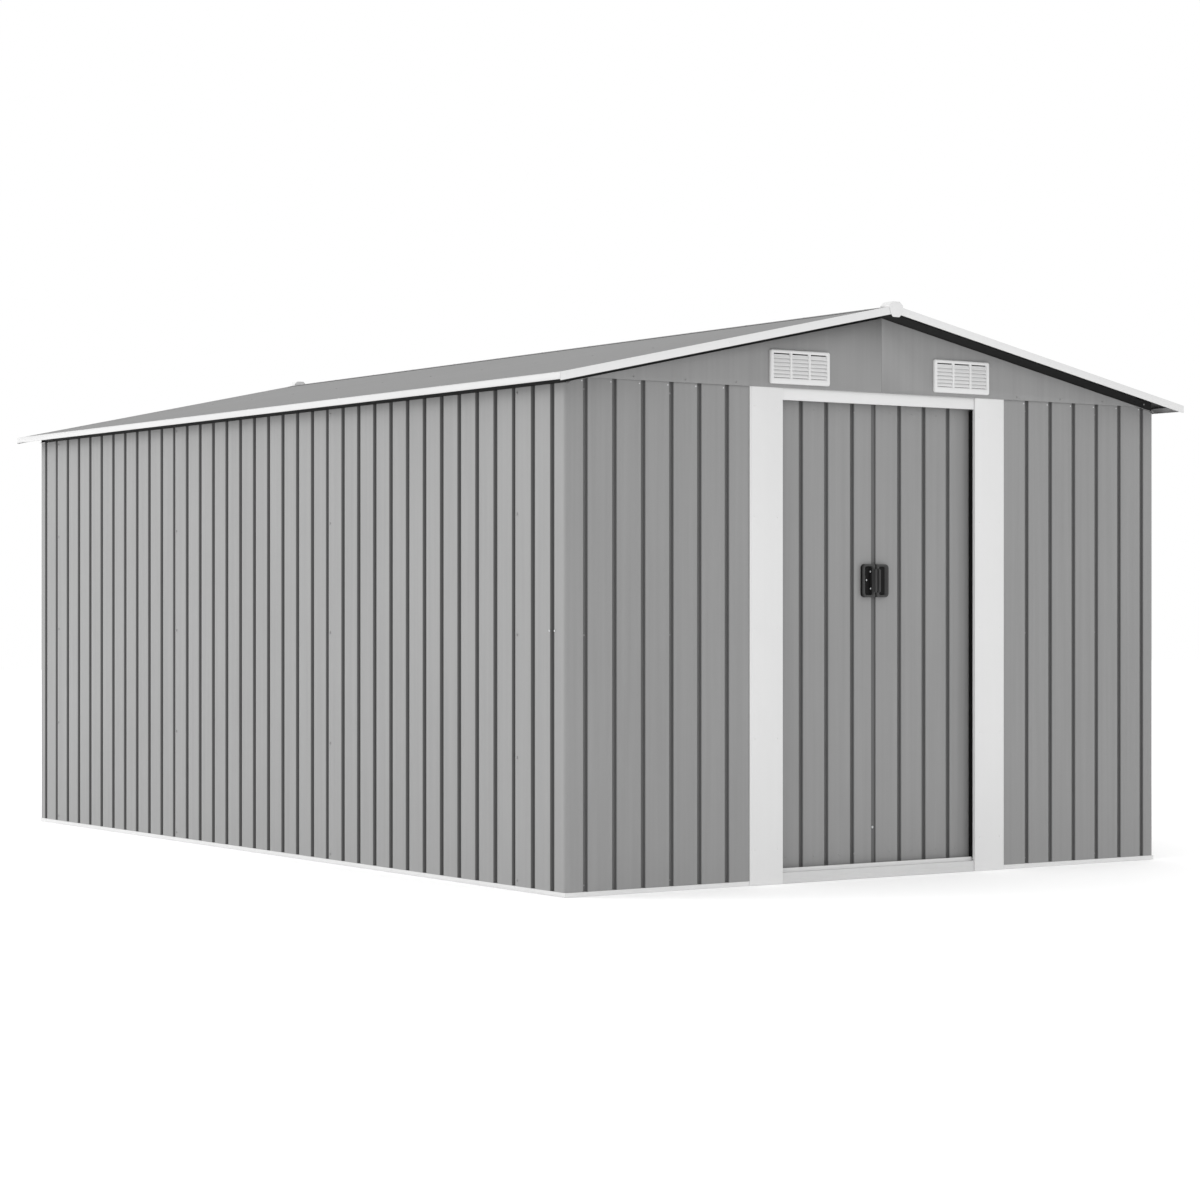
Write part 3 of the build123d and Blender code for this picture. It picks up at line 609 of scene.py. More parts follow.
def roof_sheet(name, colour, underside_shade, roughness):
    """Roof sheet: satin paint with marks of rain down the slope above, painted shade below."""
    paint = Paint(name)
    # Faces that look down take the painted shade colour; those that look up take the paint
    facing = paint.add("ShaderNodeNewGeometry", {}, {}, "Normal")
    above = (paint.axis("Z", facing) * 20.0 + 0.5).clamp()
    cloud = paint.noise(1.1, 5.0)
    runs = paint.noise(1.0, 3.0, paint.stretched(RAIN_SCALE))
    tone = ((cloud - 0.5) * 1.3 + (runs - 0.5) * 0.7 + 0.5).clamp()
    top = paint.blend(tone, opaque(colour, 0.91), opaque(colour, 1.09))
    peel = paint.noise(PEEL_SCALE, 1.0)
    return paint.finish(
        Base_Color=paint.blend(above, opaque(underside_shade), top),
        Roughness=(cloud - 0.5) * 0.14 + roughness,
        Specular_IOR_Level=0.12,
        Normal=paint.bump(peel, 0.05, 0.0004),
    )


def tint(name, description, *shade):
    """A colour property from one grey or from red, green and blue."""
    default = shade * 3 if len(shade) == 1 else shade
    return FloatVectorProperty(
        name=name, description=description, subtype="COLOR", default=default, min=0, max=1
    )


def length(name, description, default, least, most):
    """A length property."""
    return FloatProperty(
        name=name, description=description, subtype="DISTANCE", unit="LENGTH", default=default,
        min=least, max=most,
    )


class ShedLooks(bpy.types.PropertyGroup):
    """Sizes and colours of the shed's finish."""

    wall_colour: tint("Wall paint", "Colour of the walls and gables", 0.266)
    door_colour: tint("Door paint", "Colour of the door leaves", 0.266)
    roof_colour: tint("Roof paint", "Colour of the roof's upper face", 0.23)
    # Painted shade: near-black on the roof's lower face and on the rails' outer faces, where shade
    # falls
    painted_shade_colour: tint("Backing coat", "Colour of the roof's lower face", 0.010)
    # Painted shade on the strip between gable and roof
    recess_shade_colour: tint("Recess coat", "Colour of the strip between gable and roof", 0.045)
    trim_colour: tint("Trim paint", "Colour of the trims, jambs and base rails", 0.70)
    sill_colour: tint("Sill paint", "Colour of the sill plate", 0.60)
    handle_colour: tint("Handle plastic", "Colour of the cup handles", 0.050)
    # The seals' near-black is the rubber's own colour and painted shade of the gap behind the jambs
    seal_and_shade_colour: tint("Seal rubber", "Colour of the seals between jambs and doors", 0.006)
    shoe_colour: tint("Shoe plastic", "Colour of the doors' running shoes", 0.62, 0.62, 0.60)
    zinc_colour: tint("Zinc", "Colour of the galvanised rails and screws", 0.62, 0.63, 0.64)
    floor_colour: tint("Floor", "Colour of the studio floor", 0.985)
    fold_radius: length(
        "Fold radius", "Radius of the folds, as far as the runs allow", 0.004, 0.0015, 0.012
    )
    edge_round: length("Edge rounding", "Rounding of the trims' edges", 0.0004, 0, 0.002)
    dent_depth: length("Dent depth", "Depth of the waves in the sheets' flats", 0.0009, 0, 0.004)
    dent_length: length("Dent length", "Height of one wave in the flats", 0.62, 0.1, 3)
    rows: IntProperty(
        name="Rows", description="Rows of faces up a sheet", default=25, min=2, max=80
    )
    screw_head: length("Screw head", "Radius of a screw's head", 0.0038, 0.002, 0.01)
    key_power: FloatProperty(
        name="Key light", description="Power of the large light on the left", unit="POWER",
        default=480.0, min=0,
    )
    sky: FloatProperty(
        name="Surround", description="Strength of the even light all round", default=1.0, min=0
    )


def put_material(piece, material):
    """Give a piece one material."""
    piece.data.materials.clear()
    piece.data.materials.append(material)
    return piece


def placed(piece, finish, body, slot, *nodes):
    """Finish a piece: its finish's name, its body, its slot, which is not used, and the CAD nodes
    it stands for.
    """
    put_material(piece, bpy.data.materials[finish])
    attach(piece, body)
    if nodes:
        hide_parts(*nodes)
    return piece


MERGE_DISTANCE = 1e-5
# Faces that meet at less than the first angle are one flat; edges above the second are rounded
FLAT_ANGLE = 0.5
ROUND_ANGLE = 8


def rounded_copy(node, width):
    """A copy of a folded piece, its triangles merged into flats and its edges slightly rounded."""
    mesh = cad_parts[node].data.copy()
    mesh.name = node + "_rounded"
    shape = bmesh.new()
    shape.from_mesh(mesh)
    bmesh.ops.remove_doubles(shape, verts=shape.verts, dist=MERGE_DISTANCE)
    bmesh.ops.dissolve_limit(
        shape, angle_limit=radians(FLAT_ANGLE), verts=shape.verts, edges=shape.edges,
        use_dissolve_boundaries=False,
    )
    shape.to_mesh(mesh)
    shape.free()
    mesh.shade_smooth()
    piece = bpy.data.objects.new(node + "_rounded", mesh)
    bpy.context.scene.collection.objects.link(piece)
    bevel = piece.modifiers.new("Rounding", "BEVEL")
    bevel.width = width
    bevel.segments = 2
    bevel.limit_method = "ANGLE"
    bevel.angle_limit = radians(ROUND_ANGLE)
    bevel.harden_normals = True
    return piece


# How strongly the grooves' painted shade and the fine upright lines of rolled paint show
GROOVE_SHADE = 0.93
SHEET_STREAK = 1.8
# The white paints: the trims' own colour, and darker copies with painted shade for the side base
# rails and the eaves, each with its share of the trims' colour
TRIM_SHADE_SHARES = (("trim_paint", 1.0), ("side_base_shaded_paint", 0.88), ("eave_shaded_paint", 0.82))


class SHED_OT_finishes(bpy.types.Operator):
    """Make the finishes and put them on the pieces that keep their construction shape"""

    bl_idname = "shed.finishes"
    bl_label = "Finishes"

    def execute(self, context):
        looks = context.scene.shed_looks
        for name, colour, roughness in (
            ("wall_paint", looks.wall_colour, 0.50), ("door_paint", looks.door_colour, 0.48),
        ):
            painted_sheet(name, colour, roughness, SHEET_STREAK, 0.3, groove_shade=GROOVE_SHADE)
        painted_sheet(
            "gable_paint", looks.wall_colour, 0.50, SHEET_STREAK, 0.3, recess_shade=looks.recess_shade_colour
        )
        for name, share in TRIM_SHADE_SHARES:
            painted_sheet(name, opaque(looks.trim_colour, share), 0.42, 0.25, 0.35)
        painted_sheet("sill_paint", looks.sill_colour, 0.5, 0.4, 0.4)
        roof_sheet("roof_paint", looks.roof_colour, looks.painted_shade_colour, 0.6)
        cup_shade_from = corners_of("handle_left")[1][1] - HANDLE_BASE + CUP_DEPTH / 2
        moulded_plastic("handle_plastic", looks.handle_colour, 0.45, 0.2, cup_shade_from)
        moulded_plastic("seal_rubber_and_shade", looks.seal_and_shade_colour, 0.8, 0.1)
        moulded_plastic("shoe_plastic", looks.shoe_colour, 0.5, 0.5)
        zinc_sheet("zinc", looks.zinc_colour, 0.30)
        # Zinc with painted shade on its outer faces, for the top rails
        zinc_sheet("zinc_with_painted_shade", looks.zinc_colour, 0.30, looks.painted_shade_colour)
        zinc_sheet("screw_zinc", looks.zinc_colour, 0.22)
        coats = {node: "wall_paint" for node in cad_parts}
        coats.update(dict.fromkeys(WHITE_PIECES, "trim_paint"))
        coats.update(dict.fromkeys(GABLES, "gable_paint"))
        coats.update(dict.fromkeys(ZINC_PIECES, "zinc"))
        coats.update(dict.fromkeys(ROOF_PIECES, "roof_paint"))
        coats.update(top_rails="zinc_with_painted_shade", door_sill="sill_paint")
        coats.update(door_left_shoes="shoe_plastic", door_right_shoes="shoe_plastic")
        for node, name in coats.items():
            put_material(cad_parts[node], bpy.data.materials[name])
        return {"FINISHED"}


class SHED_OT_wall_sheets(bpy.types.Operator):
    """Roll the ribbed wall sheets with round folds, laps and shallow dents"""

    bl_idname = "shed.wall_sheets"
    bl_label = "Wall sheets"

    def execute(self, context):
        looks = context.scene.shed_looks
        sheets = {
            "corner_sheet_front_left": ((LEFT, FRONT), False),
            "corner_sheet_front_right": ((FRONT, RIGHT), True),
            "corner_sheet_back_right": ((RIGHT, BACK), True),
            "corner_sheet_back_left": ((BACK, LEFT), True),
            "back_sheet": ((BACK,), True),
        }
        for number in "123":
            sheets["side_sheet_left_" + number] = ((LEFT,), True)
            sheets["side_sheet_right_" + number] = ((RIGHT,), True)
        for node, (walls, lapped) in sheets.items():
            corners = sheet_plan(node, walls, lapped)
            bend_at = walls[-1].corner if len(walls) > 1 else None
            piece = ribbed(node + "_rolled", node, corners, behind_walls, looks, bend_at)
            placed(piece, "wall_paint", "shed", "wall_grey", node)
        return {"FINISHED"}


class SHED_OT_door_leaves(bpy.types.Operator):
    """Roll the two ribbed door leaves, the right one with a flange behind the left one's edge"""

    bl_idname = "shed.door_leaves"
    bl_label = "Door leaves"

    def execute(self, context):
        looks = context.scene.shed_looks
        for side in ("left", "right"):
            node = "door_" + side
            distance, depth = DOORS.read(node)
            face = distance[depth < SEAT]
            grooves = groove_points(DOORS, groove_middles(node, DOORS))
            ends = DOORS.place(np.array([face.min(), face.max()]), 0.0)
            line = [ends[:1], grooves, ends[1:]]
            if side == "right":
                flange = np.array([distance.min(), face.min() - SHEET])
                line.insert(0, DOORS.place(flange, STEP_DEPTH))
            piece = ribbed(node + "_rolled", node, np.concatenate(line), behind_doors, looks)
            placed(piece, "door_paint", side + "_door", "door_grey", node)
        return {"FINISHED"}


PLUG_DEPTH = 0.006
PLUG_CLEAR = 0.0004
CROWN_HALF = 0.014
SHOULDER_DROP = 0.012


def ridge_plug(end, facing):
    """The moulded plug in the open end of a ridge hood, resting on the ridge cap.

    Its outline is the hood's own, less the sheet, down to the cap's two slopes; the plug is that
    outline carried along the ridge.
    """
    low, high = corners_of("ridge_end_" + end)
    cap_low, cap_high = corners_of("ridge_cap")
    slope = (cap_high[2] - cap_low[2] - SHEET) / cap_high[0]
    inner = np.abs([low[1], high[1]]).min() * facing
    half = high[0] - SHEET - PLUG_CLEAR
    crown = high[2] - SHEET - PLUG_CLEAR
    foot = cap_high[2] + PLUG_CLEAR
    side = [
        (PLUG_CLEAR, foot), (half, foot - half * slope), (half, crown - SHOULDER_DROP),
        (CROWN_HALF, crown),
    ]
    outline = np.array(side + [(-x, z) for x, z in reversed(side)])
    y = inner + facing * np.array([[PLUG_CLEAR], [PLUG_DEPTH]])
    return made("ridge_plug_" + end, *bar(outline[:, 0], y, outline[:, 1]))


class SHED_OT_trims(bpy.types.Operator):
    """Round the edges of the folded trims, jambs, rails, track and gables"""

    bl_idname = "shed.trims"
    bl_label = "Trims"

    def execute(self, context):
        looks = context.scene.shed_looks
        slots = dict.fromkeys(WHITE_PIECES, ("trim_paint", "trim_white"))
        for place in ("back", "front_left", "front_right"):
            slots["base_rail_" + place] = ("trim_paint", "base_white")
        # The side base rails and the eave trims get the copies of the white paint with painted
        # shade
        for side in ("left", "right"):
            slots["base_rail_" + side] = ("side_base_shaded_paint", "base_white")
            slots["eave_trim_" + side] = ("eave_shaded_paint", "trim_white")
        slots.update(dict.fromkeys(GABLES, ("gable_paint", "wall_grey")))
        slots["ridge_cap"] = ("roof_paint", "roof_grey")
        slots["door_sill"] = ("sill_paint", "sill_grey")
        for node, (finish, slot) in slots.items():
            placed(rounded_copy(node, looks.edge_round), finish, "shed", slot, node)
        for end, facing in ENDS:
            placed(ridge_plug(end, facing), "trim_paint", "shed", "cap_white")
        return {"FINISHED"}


VENT_BORDER = 0.013
VENT_BORDER_TOP = 0.0106
VENT_BORDER_BOTTOM = 0.019
VENT_RIB = 0.009
VENT_COLUMNS = 3
VENT_SLATS = 6
VENT_TOP_SLOT = 0.0050
VENT_SCREW_INSET = 0.0065
# The border's section: share of its breadth from the outer edge, and share of its rise
VENT_BORDER_SECTION = (
    (0, 0), (0, 0.6), (0.10, 0.88), (0.3, 1.0), (0.8, 1.0), (0.95, 0.88), (1, 0.6), (1, 0),
)
# A rib's section: share of its width from its middle, and share of the rise
VENT_RIB_SECTION = ((-0.5, 0.1), (-0.5, 0.8), (-0.35, 0.97), (0.35, 0.97), (0.5, 0.8), (0.5, 0.1))
# A blade's section: share of the rise in front of the wall, and share of the pitch from its middle
VENT_BLADE_SECTION = (
    (0.12, 0.50), (0.12, 0.64), (0.70, -0.10), (0.80, -0.30), (0.78, -0.42), (0.66, -0.36),
)


def vent_parts(low, high, facing):
    """One louvred vent: a crowned border, upright ribs and sloping slats with round noses.

    low and high are its corners (x, y, z) on the wall and facing is the sign of y that it looks
    to. The border is its section carried round rounded rectangles whose four sides move in by
    their own breadths. Every rib and blade is its section carried along a straight line.
    """
    back = low[1] if facing > 0 else high[1]
    rise = high[1] - low[1]
    breadth_low = np.array([VENT_BORDER, VENT_BORDER_BOTTOM])
    breadth_high = np.array([VENT_BORDER, VENT_BORDER_TOP])
    loops = []
    for inset, share in VENT_BORDER_SECTION:
        start = low[[0, 2]] + breadth_low * inset
        end = high[[0, 2]] - breadth_high * inset
        loop = rounded_loop(*(end - start), VENT_BORDER / 2 * (1 - 0.7 * inset))
        loops.append(upright(loop + (start + end) / 2, back + facing * share * rise))
    parts = [closed_ring(np.array(loops))]
    start = low[[0, 2]] + breadth_low
    end = high[[0, 2]] - breadth_high
    window = (end[0] - start[0] - (VENT_COLUMNS - 1) * VENT_RIB) / VENT_COLUMNS
    tuck = VENT_BORDER / 4
    across, out = np.array(VENT_RIB_SECTION).T
    for number in range(1, VENT_COLUMNS):
        x = start[0] + number * (window + VENT_RIB) + (across - 0.5) * VENT_RIB
        z = np.array([[start[1] - tuck], [end[1] + tuck]])
        parts.append(bar(x, back + facing * out * rise, z))
    pitch = (end[1] - VENT_TOP_SLOT - start[1]) / VENT_SLATS
    out, up = np.array(VENT_BLADE_SECTION).T
    for number in range(VENT_SLATS):
        x = np.array([[start[0] - tuck], [end[0] + tuck]])
        z = start[1] + (number + 0.5 + up) * pitch
        parts.append(bar(x, back + facing * out * rise, z))
    return [(points, outward(points, quads)) for points, quads in parts]


class SHED_OT_vents(bpy.types.Operator):
    """Build the louvred vents on both gables"""

    bl_idname = "shed.vents"
    bl_label = "Vents"

    def execute(self, context):
        for end, facing in ENDS:
            node = "vents_" + end
            points = points_of(node)
            parts = []
            for hand in (-1, 1):
                side = points[points[:, 0] * hand > 0]
                low, high = side.min(axis=0), side.max(axis=0)
                parts += vent_parts(low, high, facing)
            piece = made(node + "_louvred", *joined(parts), smooth=50.0)
            placed(piece, "trim_paint", "shed", "vent_white", node)
        return {"FINISHED"}


HANDLE_BASE = 0.014
HANDLE_CORNER = 0.012
HANDLE_SHOULDER = 0.0025
HANDLE_GAP = 0.005
HANDLE_RIM = 0.006
CUP_CORNER = 0.006
CUP_DEPTH = 0.010
GRIP_WIDTH = 0.009
GRIP_HEIGHT = 0.076
GRIP_ROUND = 0.004
MEETING_ROUND = 0.0008
# Plate: inset of each loop and its depth behind the front, both as shares of the shoulder
HANDLE_PLATE_SECTION = ((0, 0.9), (0.3, 0.3), (1, 0))
# Cup: inset of each loop beside the grip, its inset on the outer side, its depth behind the front
CUP_SECTION = (
    (0, 0, 0), (0.0006, 0.0008, 0.0006), (0.0010, 0.0022, 0.0020), (0.0016, 0.0090, 0.0085),
    (0.0035, 0.0115, CUP_DEPTH),
)
# Grip: inset of each loop in metres, and share of its rise over the plate
GRIP_SECTION = ((0, -0.2), (0, 0.5), (0.0009, 0.78), (0.0022, 0.94), (0.0034, 1.0))
# Screws in the cups: distance from the meeting line, and height over the handle's middle
CUP_SCREWS = {
    "left": ((0.016, 0.029), (0.032, 0.002), (0.015, -0.025)),
    "right": ((0.016, 0.029), (0.016, -0.025)),
}


def half_round_loop(low, high, radius, hand):
    """A rectangle (x, z) whose two corners away from the doors' meeting line are round."""
    radii = np.where(CORNER_SIGNS[:, 0] * hand > 0, radius, MEETING_ROUND)
    return rounded_loop(*(high - low), radii) + (low + high) / 2


class SHED_OT_handles(bpy.types.Operator):
    """Mould the two halves of the cup handle, one on each door leaf"""

    bl_idname = "shed.handles"
    bl_label = "Handles"

    def execute(self, context):
        for side, hand in SIDES:
            node = "handle_" + side
            corner_low, corner_high = corners_of(node)
            back = corner_high[1]
            front = back - HANDLE_BASE
            low, high = corner_low[[0, 2]], corner_high[[0, 2]]
            middle = (low[1] + high[1]) / 2
            loops = [upright(half_round_loop(low, high, HANDLE_CORNER, hand), back)]
            for inset, depth in HANDLE_PLATE_SECTION:
                shift = inset * HANDLE_SHOULDER
                loop = half_round_loop(low + shift, high - shift, HANDLE_CORNER - shift, hand)
                loops.append(upright(loop, front + depth * HANDLE_SHOULDER))
            cup_inner = HANDLE_GAP / 2 + GRIP_WIDTH
            cup_outer = np.abs([low[0], high[0]]).max() - HANDLE_RIM
            cup_height = high[1] - low[1] - 2 * HANDLE_RIM
            for inset, outer_inset, depth in CUP_SECTION:
                width = cup_outer - cup_inner - inset - outer_inset
                loop = rounded_loop(width, cup_height - 2 * inset, CUP_CORNER)
                centre = (cup_inner + inset + cup_outer - outer_inset) / 2
                loops.append(upright(loop + (hand * centre, middle), front + depth))
            grip_x = hand * (HANDLE_GAP + GRIP_WIDTH) / 2
            rise = front - corner_low[1]
            grip = []
            for inset, share in GRIP_SECTION:
                size = (GRIP_WIDTH - 2 * inset, GRIP_HEIGHT - 4 * inset)
                loop = rounded_loop(*size, GRIP_ROUND - inset)
                grip.append(upright(loop + (grip_x, middle), front - share * rise))
            parts = [closed_loops(np.array(loops)), closed_loops(np.array(grip))]
            parts = [(points, outward(points, quads)) for points, quads in parts]
            piece = made(node + "_moulded", *joined(parts), smooth=60.0)
            placed(piece, "handle_plastic", side + "_door", "handle_black", node)
            places = [(hand * x, front + CUP_DEPTH, middle + z) for x, z in CUP_SCREWS[side]]
            screws("handle_screws_" + side, places, (0, -1, 0), HANDLE_SCREW, side + "_door")
        return {"FINISHED"}


# Radius and rise of a screw's head and of its washer, as shares of the head's radius
PAN_HEAD = ((1.0, 0.0), (1.0, 0.22), (0.92, 0.42), (0.62, 0.62), (0.25, 0.68))
LOW_HEAD = ((1.0, 0.0), (0.97, 0.10), (0.75, 0.22), (0.35, 0.29), (0.12, 0.30))
WASHER = ((1.45, 0.0), (1.45, 0.16), (1.3, 0.26), (1.0, 0.26))
# Share of the washer's height at which a head sits in it
HEAD_SEAT = 0.9
# Kinds of screw: finish, slot, size as a share of the head's usual radius, and section
HANDLE_SCREW = ("screw_zinc", "zinc_steel", 0.8, PAN_HEAD)
EDGE_SCREW = ("screw_zinc", "zinc_steel", 0.65, LOW_HEAD)
BARE_SCREW = ("screw_zinc", "zinc_steel", 0.9, PAN_HEAD)
MEETING_RIVET = ("screw_zinc", "zinc_steel", 1.2, PAN_HEAD)
SHEET_SCREW = ("wall_paint", "wall_grey", 0.8, PAN_HEAD)
SEAM_SCREW = ("wall_paint", "wall_grey", 1.0, PAN_HEAD)
LEAF_SCREW = ("door_paint", "door_grey", 0.85, LOW_HEAD)
TRIM_SCREW = ("trim_paint", "trim_white", 0.85, LOW_HEAD)
EAVE_SCREW = ("trim_paint", "trim_white", 1.0, LOW_HEAD)
VENT_SCREW = ("trim_paint", "vent_white", 0.65, LOW_HEAD)
ROOF_SCREW = ("roof_paint", "roof_grey", 1.0, LOW_HEAD)


def screws(name, places, axis, kind, body="shed", washer=False):
    """Screws of one kind as one mesh, all facing along one axis or each along its own."""
    finish, slot, size, head = kind
    places = np.asarray(places, float)
    axes = np.broadcast_to(np.asarray(axis, float), places.shape)
    radius = bpy.context.scene.shed_looks.screw_head * size
    section = np.array(head) * radius
    if washer:
        section[:, 1] += WASHER[-1][1] * radius * HEAD_SEAT
    parts = [turned_parts(section, places, axes)]
    if washer:
        parts.append(turned_parts(np.array(WASHER) * radius, places, axes))
    return placed(made(name, *joined(parts), smooth=50.0), finish, body, slot)


def evenly(start, stop, spacing):
    """Places from start to stop with the count that comes nearest to the spacing."""
    return np.linspace(start, stop, max(2, int(round(abs(stop - start) / spacing)) + 1))


def crossed(first, second):
    """All pairs of two lists of values as two flat arrays."""
    a, b = np.meshgrid(first, second, indexing="ij")
    return a.ravel(), b.ravel()


WALL_NODES = (
    (LEFT, "left", (
        "corner_sheet_back_left", "side_sheet_left_1", "side_sheet_left_2", "side_sheet_left_3",
        "corner_sheet_front_left",
    )),
    (RIGHT, "right", (
        "corner_sheet_front_right", "side_sheet_right_1", "side_sheet_right_2",
        "side_sheet_right_3", "corner_sheet_back_right",
    )),
    (BACK, "back", ("corner_sheet_back_right", "back_sheet", "corner_sheet_back_left")),
    (FRONT, "front", ("corner_sheet_front_left", "corner_sheet_front_right")),
)
# Heights of the wall screws: over the walls' foot, under the middle rail's top, under the eaves,
# and from the gables' lower edge up or down
FOOT_SCREW_RISE = 0.018
RAIL_SCREW_DROP = 0.006
EAVE_SCREW_DROP = 0.016
GABLE_SCREW_OFF = 0.009
# Bare screws beside the grooves: distance from a groove's middle, and rise over the rail's screws
BESIDE_GROOVE = GROOVE_MOUTH / 2 + 0.006
BARE_SCREW_RISE = 0.013


class SHED_OT_wall_screws(bpy.types.Operator):
    """Set the wall sheets' screws: in the grooves over the rails and along the laps"""

    bl_idname = "shed.wall_screws"
    bl_label = "Wall screws"

    def execute(self, context):
        looks = context.scene.shed_looks
        base = WALL_BOTTOM + FOOT_SCREW_RISE
        rail = corners_of("mid_rails")[1][2] - RAIL_SCREW_DROP
        top = corners_of("side_sheet_left_1")[1][2] - EAVE_SCREW_DROP
        rail_heights = (base, rail, top)
        seam_heights = (base, (base + rail) / 2, rail, (rail + top) / 2, top)
        for wall, label, nodes in WALL_NODES:
            middles = [groove_middles(node, wall) for node in nodes]
            grooves = np.unique(np.round(np.concatenate(middles), 4))
            facing = (*-wall.inward, 0)
            # The left wall is counted from its front corner, as the right one is
            chosen = grooves[::-1][::3] if wall is LEFT else grooves[::3]
            distance, height = crossed(chosen, rail_heights)
            places = wall.spots(distance, GROOVE_DEPTH, height)
            screws("groove_screws_" + label, places, facing, SHEET_SCREW)
            if wall in (FRONT, BACK):
                distance = grooves - BESIDE_GROOVE
                height = GABLE_BOTTOM - GABLE_SCREW_OFF
                name, kind = "edge_screws_", EDGE_SCREW
            else:
                distance = chosen[0] + np.array([-1, 1]) * BESIDE_GROOVE
                height = rail + BARE_SCREW_RISE
                name, kind = "bare_screws_", BARE_SCREW
            places = wall.spots(distance, 0.0, height)
            screws(name + label, places, facing, kind)
            if wall is FRONT:
                continue
            seams = np.array([middle[-1] for middle in middles[:-1]])
            distance, height = crossed(seams + GROOVE_MOUTH / 2 + LAP_WIDTH / 2, seam_heights)
            places = wall.spots(distance, looks.dent_depth / 2, height)
            screws("seam_screws_" + label, places, facing, SEAM_SCREW, washer=True)
        return {"FINISHED"}


# Screws along the gables: distance from the walls' ends, spacing, and clearance beside the jambs
GABLE_SCREW_END = 0.05
GABLE_SCREW_SPACING = 0.2
JAMB_CLEAR = 0.02
# Screws in the jambs: distance from an edge, the lowest's height, the highest's drop, and how many
JAMB_SCREW_INSET = 0.020
JAMB_SCREW_FOOT = 0.11
JAMB_SCREW_DROP = 0.06
JAMB_SCREW_COUNT = 5
# How deep a vent's screws are sunk, as a share of the head's radius
VENT_SCREW_SINK = 0.25


class SHED_OT_trim_screws(bpy.types.Operator):
    """Set the screws of the gables, jambs and vents"""

    bl_idname = "shed.trim_screws"
    bl_label = "Trim screws"

    def execute(self, context):
        looks = context.scene.shed_looks
        gable_face = -corners_of("gable_front_left")[0][1]
        beyond_jambs = corners_of("jamb_right")[1][0] + JAMB_CLEAR
        reach = HALF_WIDTH - GABLE_SCREW_END
        for end, facing in ENDS:
            x = evenly(-reach, reach, GABLE_SCREW_SPACING)
            if facing < 0:
                x = x[np.abs(x) > beyond_jambs]
            places = spread(x, facing * gable_face, GABLE_BOTTOM + GABLE_SCREW_OFF)
            screws("gable_screws_" + end, places, (0, facing, 0), SHEET_SCREW)
        for side in ("left", "right"):
            low, high = corners_of("jamb_" + side)
            edges = (low[0] + JAMB_SCREW_INSET, high[0] - JAMB_SCREW_INSET)
            top = GABLE_BOTTOM - JAMB_SCREW_DROP
            x, z = crossed(edges, np.linspace(JAMB_SCREW_FOOT, top, JAMB_SCREW_COUNT))
            places = spread(x, low[1], z)
            screws("jamb_screws_" + side, places, (0, -1, 0), TRIM_SCREW)
        for end, facing in ENDS:
            points = points_of("vents_" + end)
            face = facing * np.abs(points[:, 1]).max()
            places = []
            for hand in (-1, 1):
                side = points[points[:, 0] * hand > 0]
                low = side.min(axis=0) + VENT_SCREW_INSET
                high = side.max(axis=0) - VENT_SCREW_INSET
                places += [(x, face, z) for x in (low[0], high[0]) for z in (low[2], high[2])]
            places = np.array(places)
            places[:, 1] -= facing * looks.screw_head * VENT_SCREW_SINK
            screws("vent_screws_" + end, places, (0, facing, 0), VENT_SCREW)
        return {"FINISHED"}


# Rows of the roof's screws: distance from the ridge or in from the walls' face or the trim's edge
CAP_SCREW_PLACE = 0.038
PURLIN_SCREW_PLACE = 0.620
RAIL_SCREW_INSET = 0.028
EAVE_SCREW_INSET = 0.013
# The rows' ends lie this far inside the end walls, and the eave's this much nearer to them
ROW_END = 0.03
EAVE_ROW_REACH = 0.05
# Screws in the gable ends' trims: first and last place, spacing, and height under the roof's line
VERGE_SCREW_START = 0.06
VERGE_SCREW_END = 0.022
VERGE_SCREW_SPACING = 0.6
VERGE_SCREW_DROP = 0.009


class SHED_OT_roof_screws(bpy.types.Operator):
    """Set the low screws of the roof sheets, ridge cap and roof trims"""

    bl_idname = "shed.roof_screws"
    bl_label = "Roof screws"

    def execute(self, context):
        low, high = corners_of("roof_right")
        slope = (high[2] - low[2] - SHEET) / (high[0] - low[0])
        across = np.array([slope, 1.0]) / np.hypot(slope, 1.0)
        trim = corners_of("eave_trim_right")[1][0]
        ridge = high[2]
        # Name, kind, distance from the ridge, reach, spacing, and lift over the roof sheets
        rows = (
            ("cap", ROOF_SCREW, CAP_SCREW_PLACE, 0.0, 0.32, 2 * SHEET + SEAT),
            ("purlin", ROOF_SCREW, PURLIN_SCREW_PLACE, 0.0, 0.35, 0.0),
            ("rail", ROOF_SCREW, HALF_WIDTH - RAIL_SCREW_INSET, 0.0, 0.35, 0.0),
            ("eave", EAVE_SCREW, trim - EAVE_SCREW_INSET, EAVE_ROW_REACH, 0.6, SHEET + SEAT),
        )
        for label, kind, place, beyond, spacing, lift in rows:
            reach = HALF_LENGTH - ROW_END + beyond
            hand, y = crossed((-1, 1), evenly(-reach, reach, spacing))
            axes = spread(hand * across[0], 0.0, across[1])
            feet = spread(hand * place, y, ridge - place * slope)
            screws("roof_screws_" + label, feet + axes * lift, axes, kind)
        for end, facing in ENDS:
            face = facing * np.abs(points_of("verge_trims_" + end)[:, 1]).max()
            along = evenly(VERGE_SCREW_START, trim - VERGE_SCREW_END, VERGE_SCREW_SPACING)
            x = np.concatenate([-along, along])
            z = ridge - np.abs(x) * slope - VERGE_SCREW_DROP
            screws("verge_screws_" + end, spread(x, face, z), (0, facing, 0), TRIM_SCREW)
        return {"FINISHED"}


SEAL_DEPTHS = (0.0095, 0.0290)
SEAL_INSET = 0.0026
SEAL_END = 0.004
# The seal's section: share of its depth from the jamb to its lip, and half its thickness there
SEAL_SECTION = ((0.0, 0.0016), (0.3, 0.0022), (0.55, 0.0012), (0.8, 0.0009), (1.0, 0.0004))


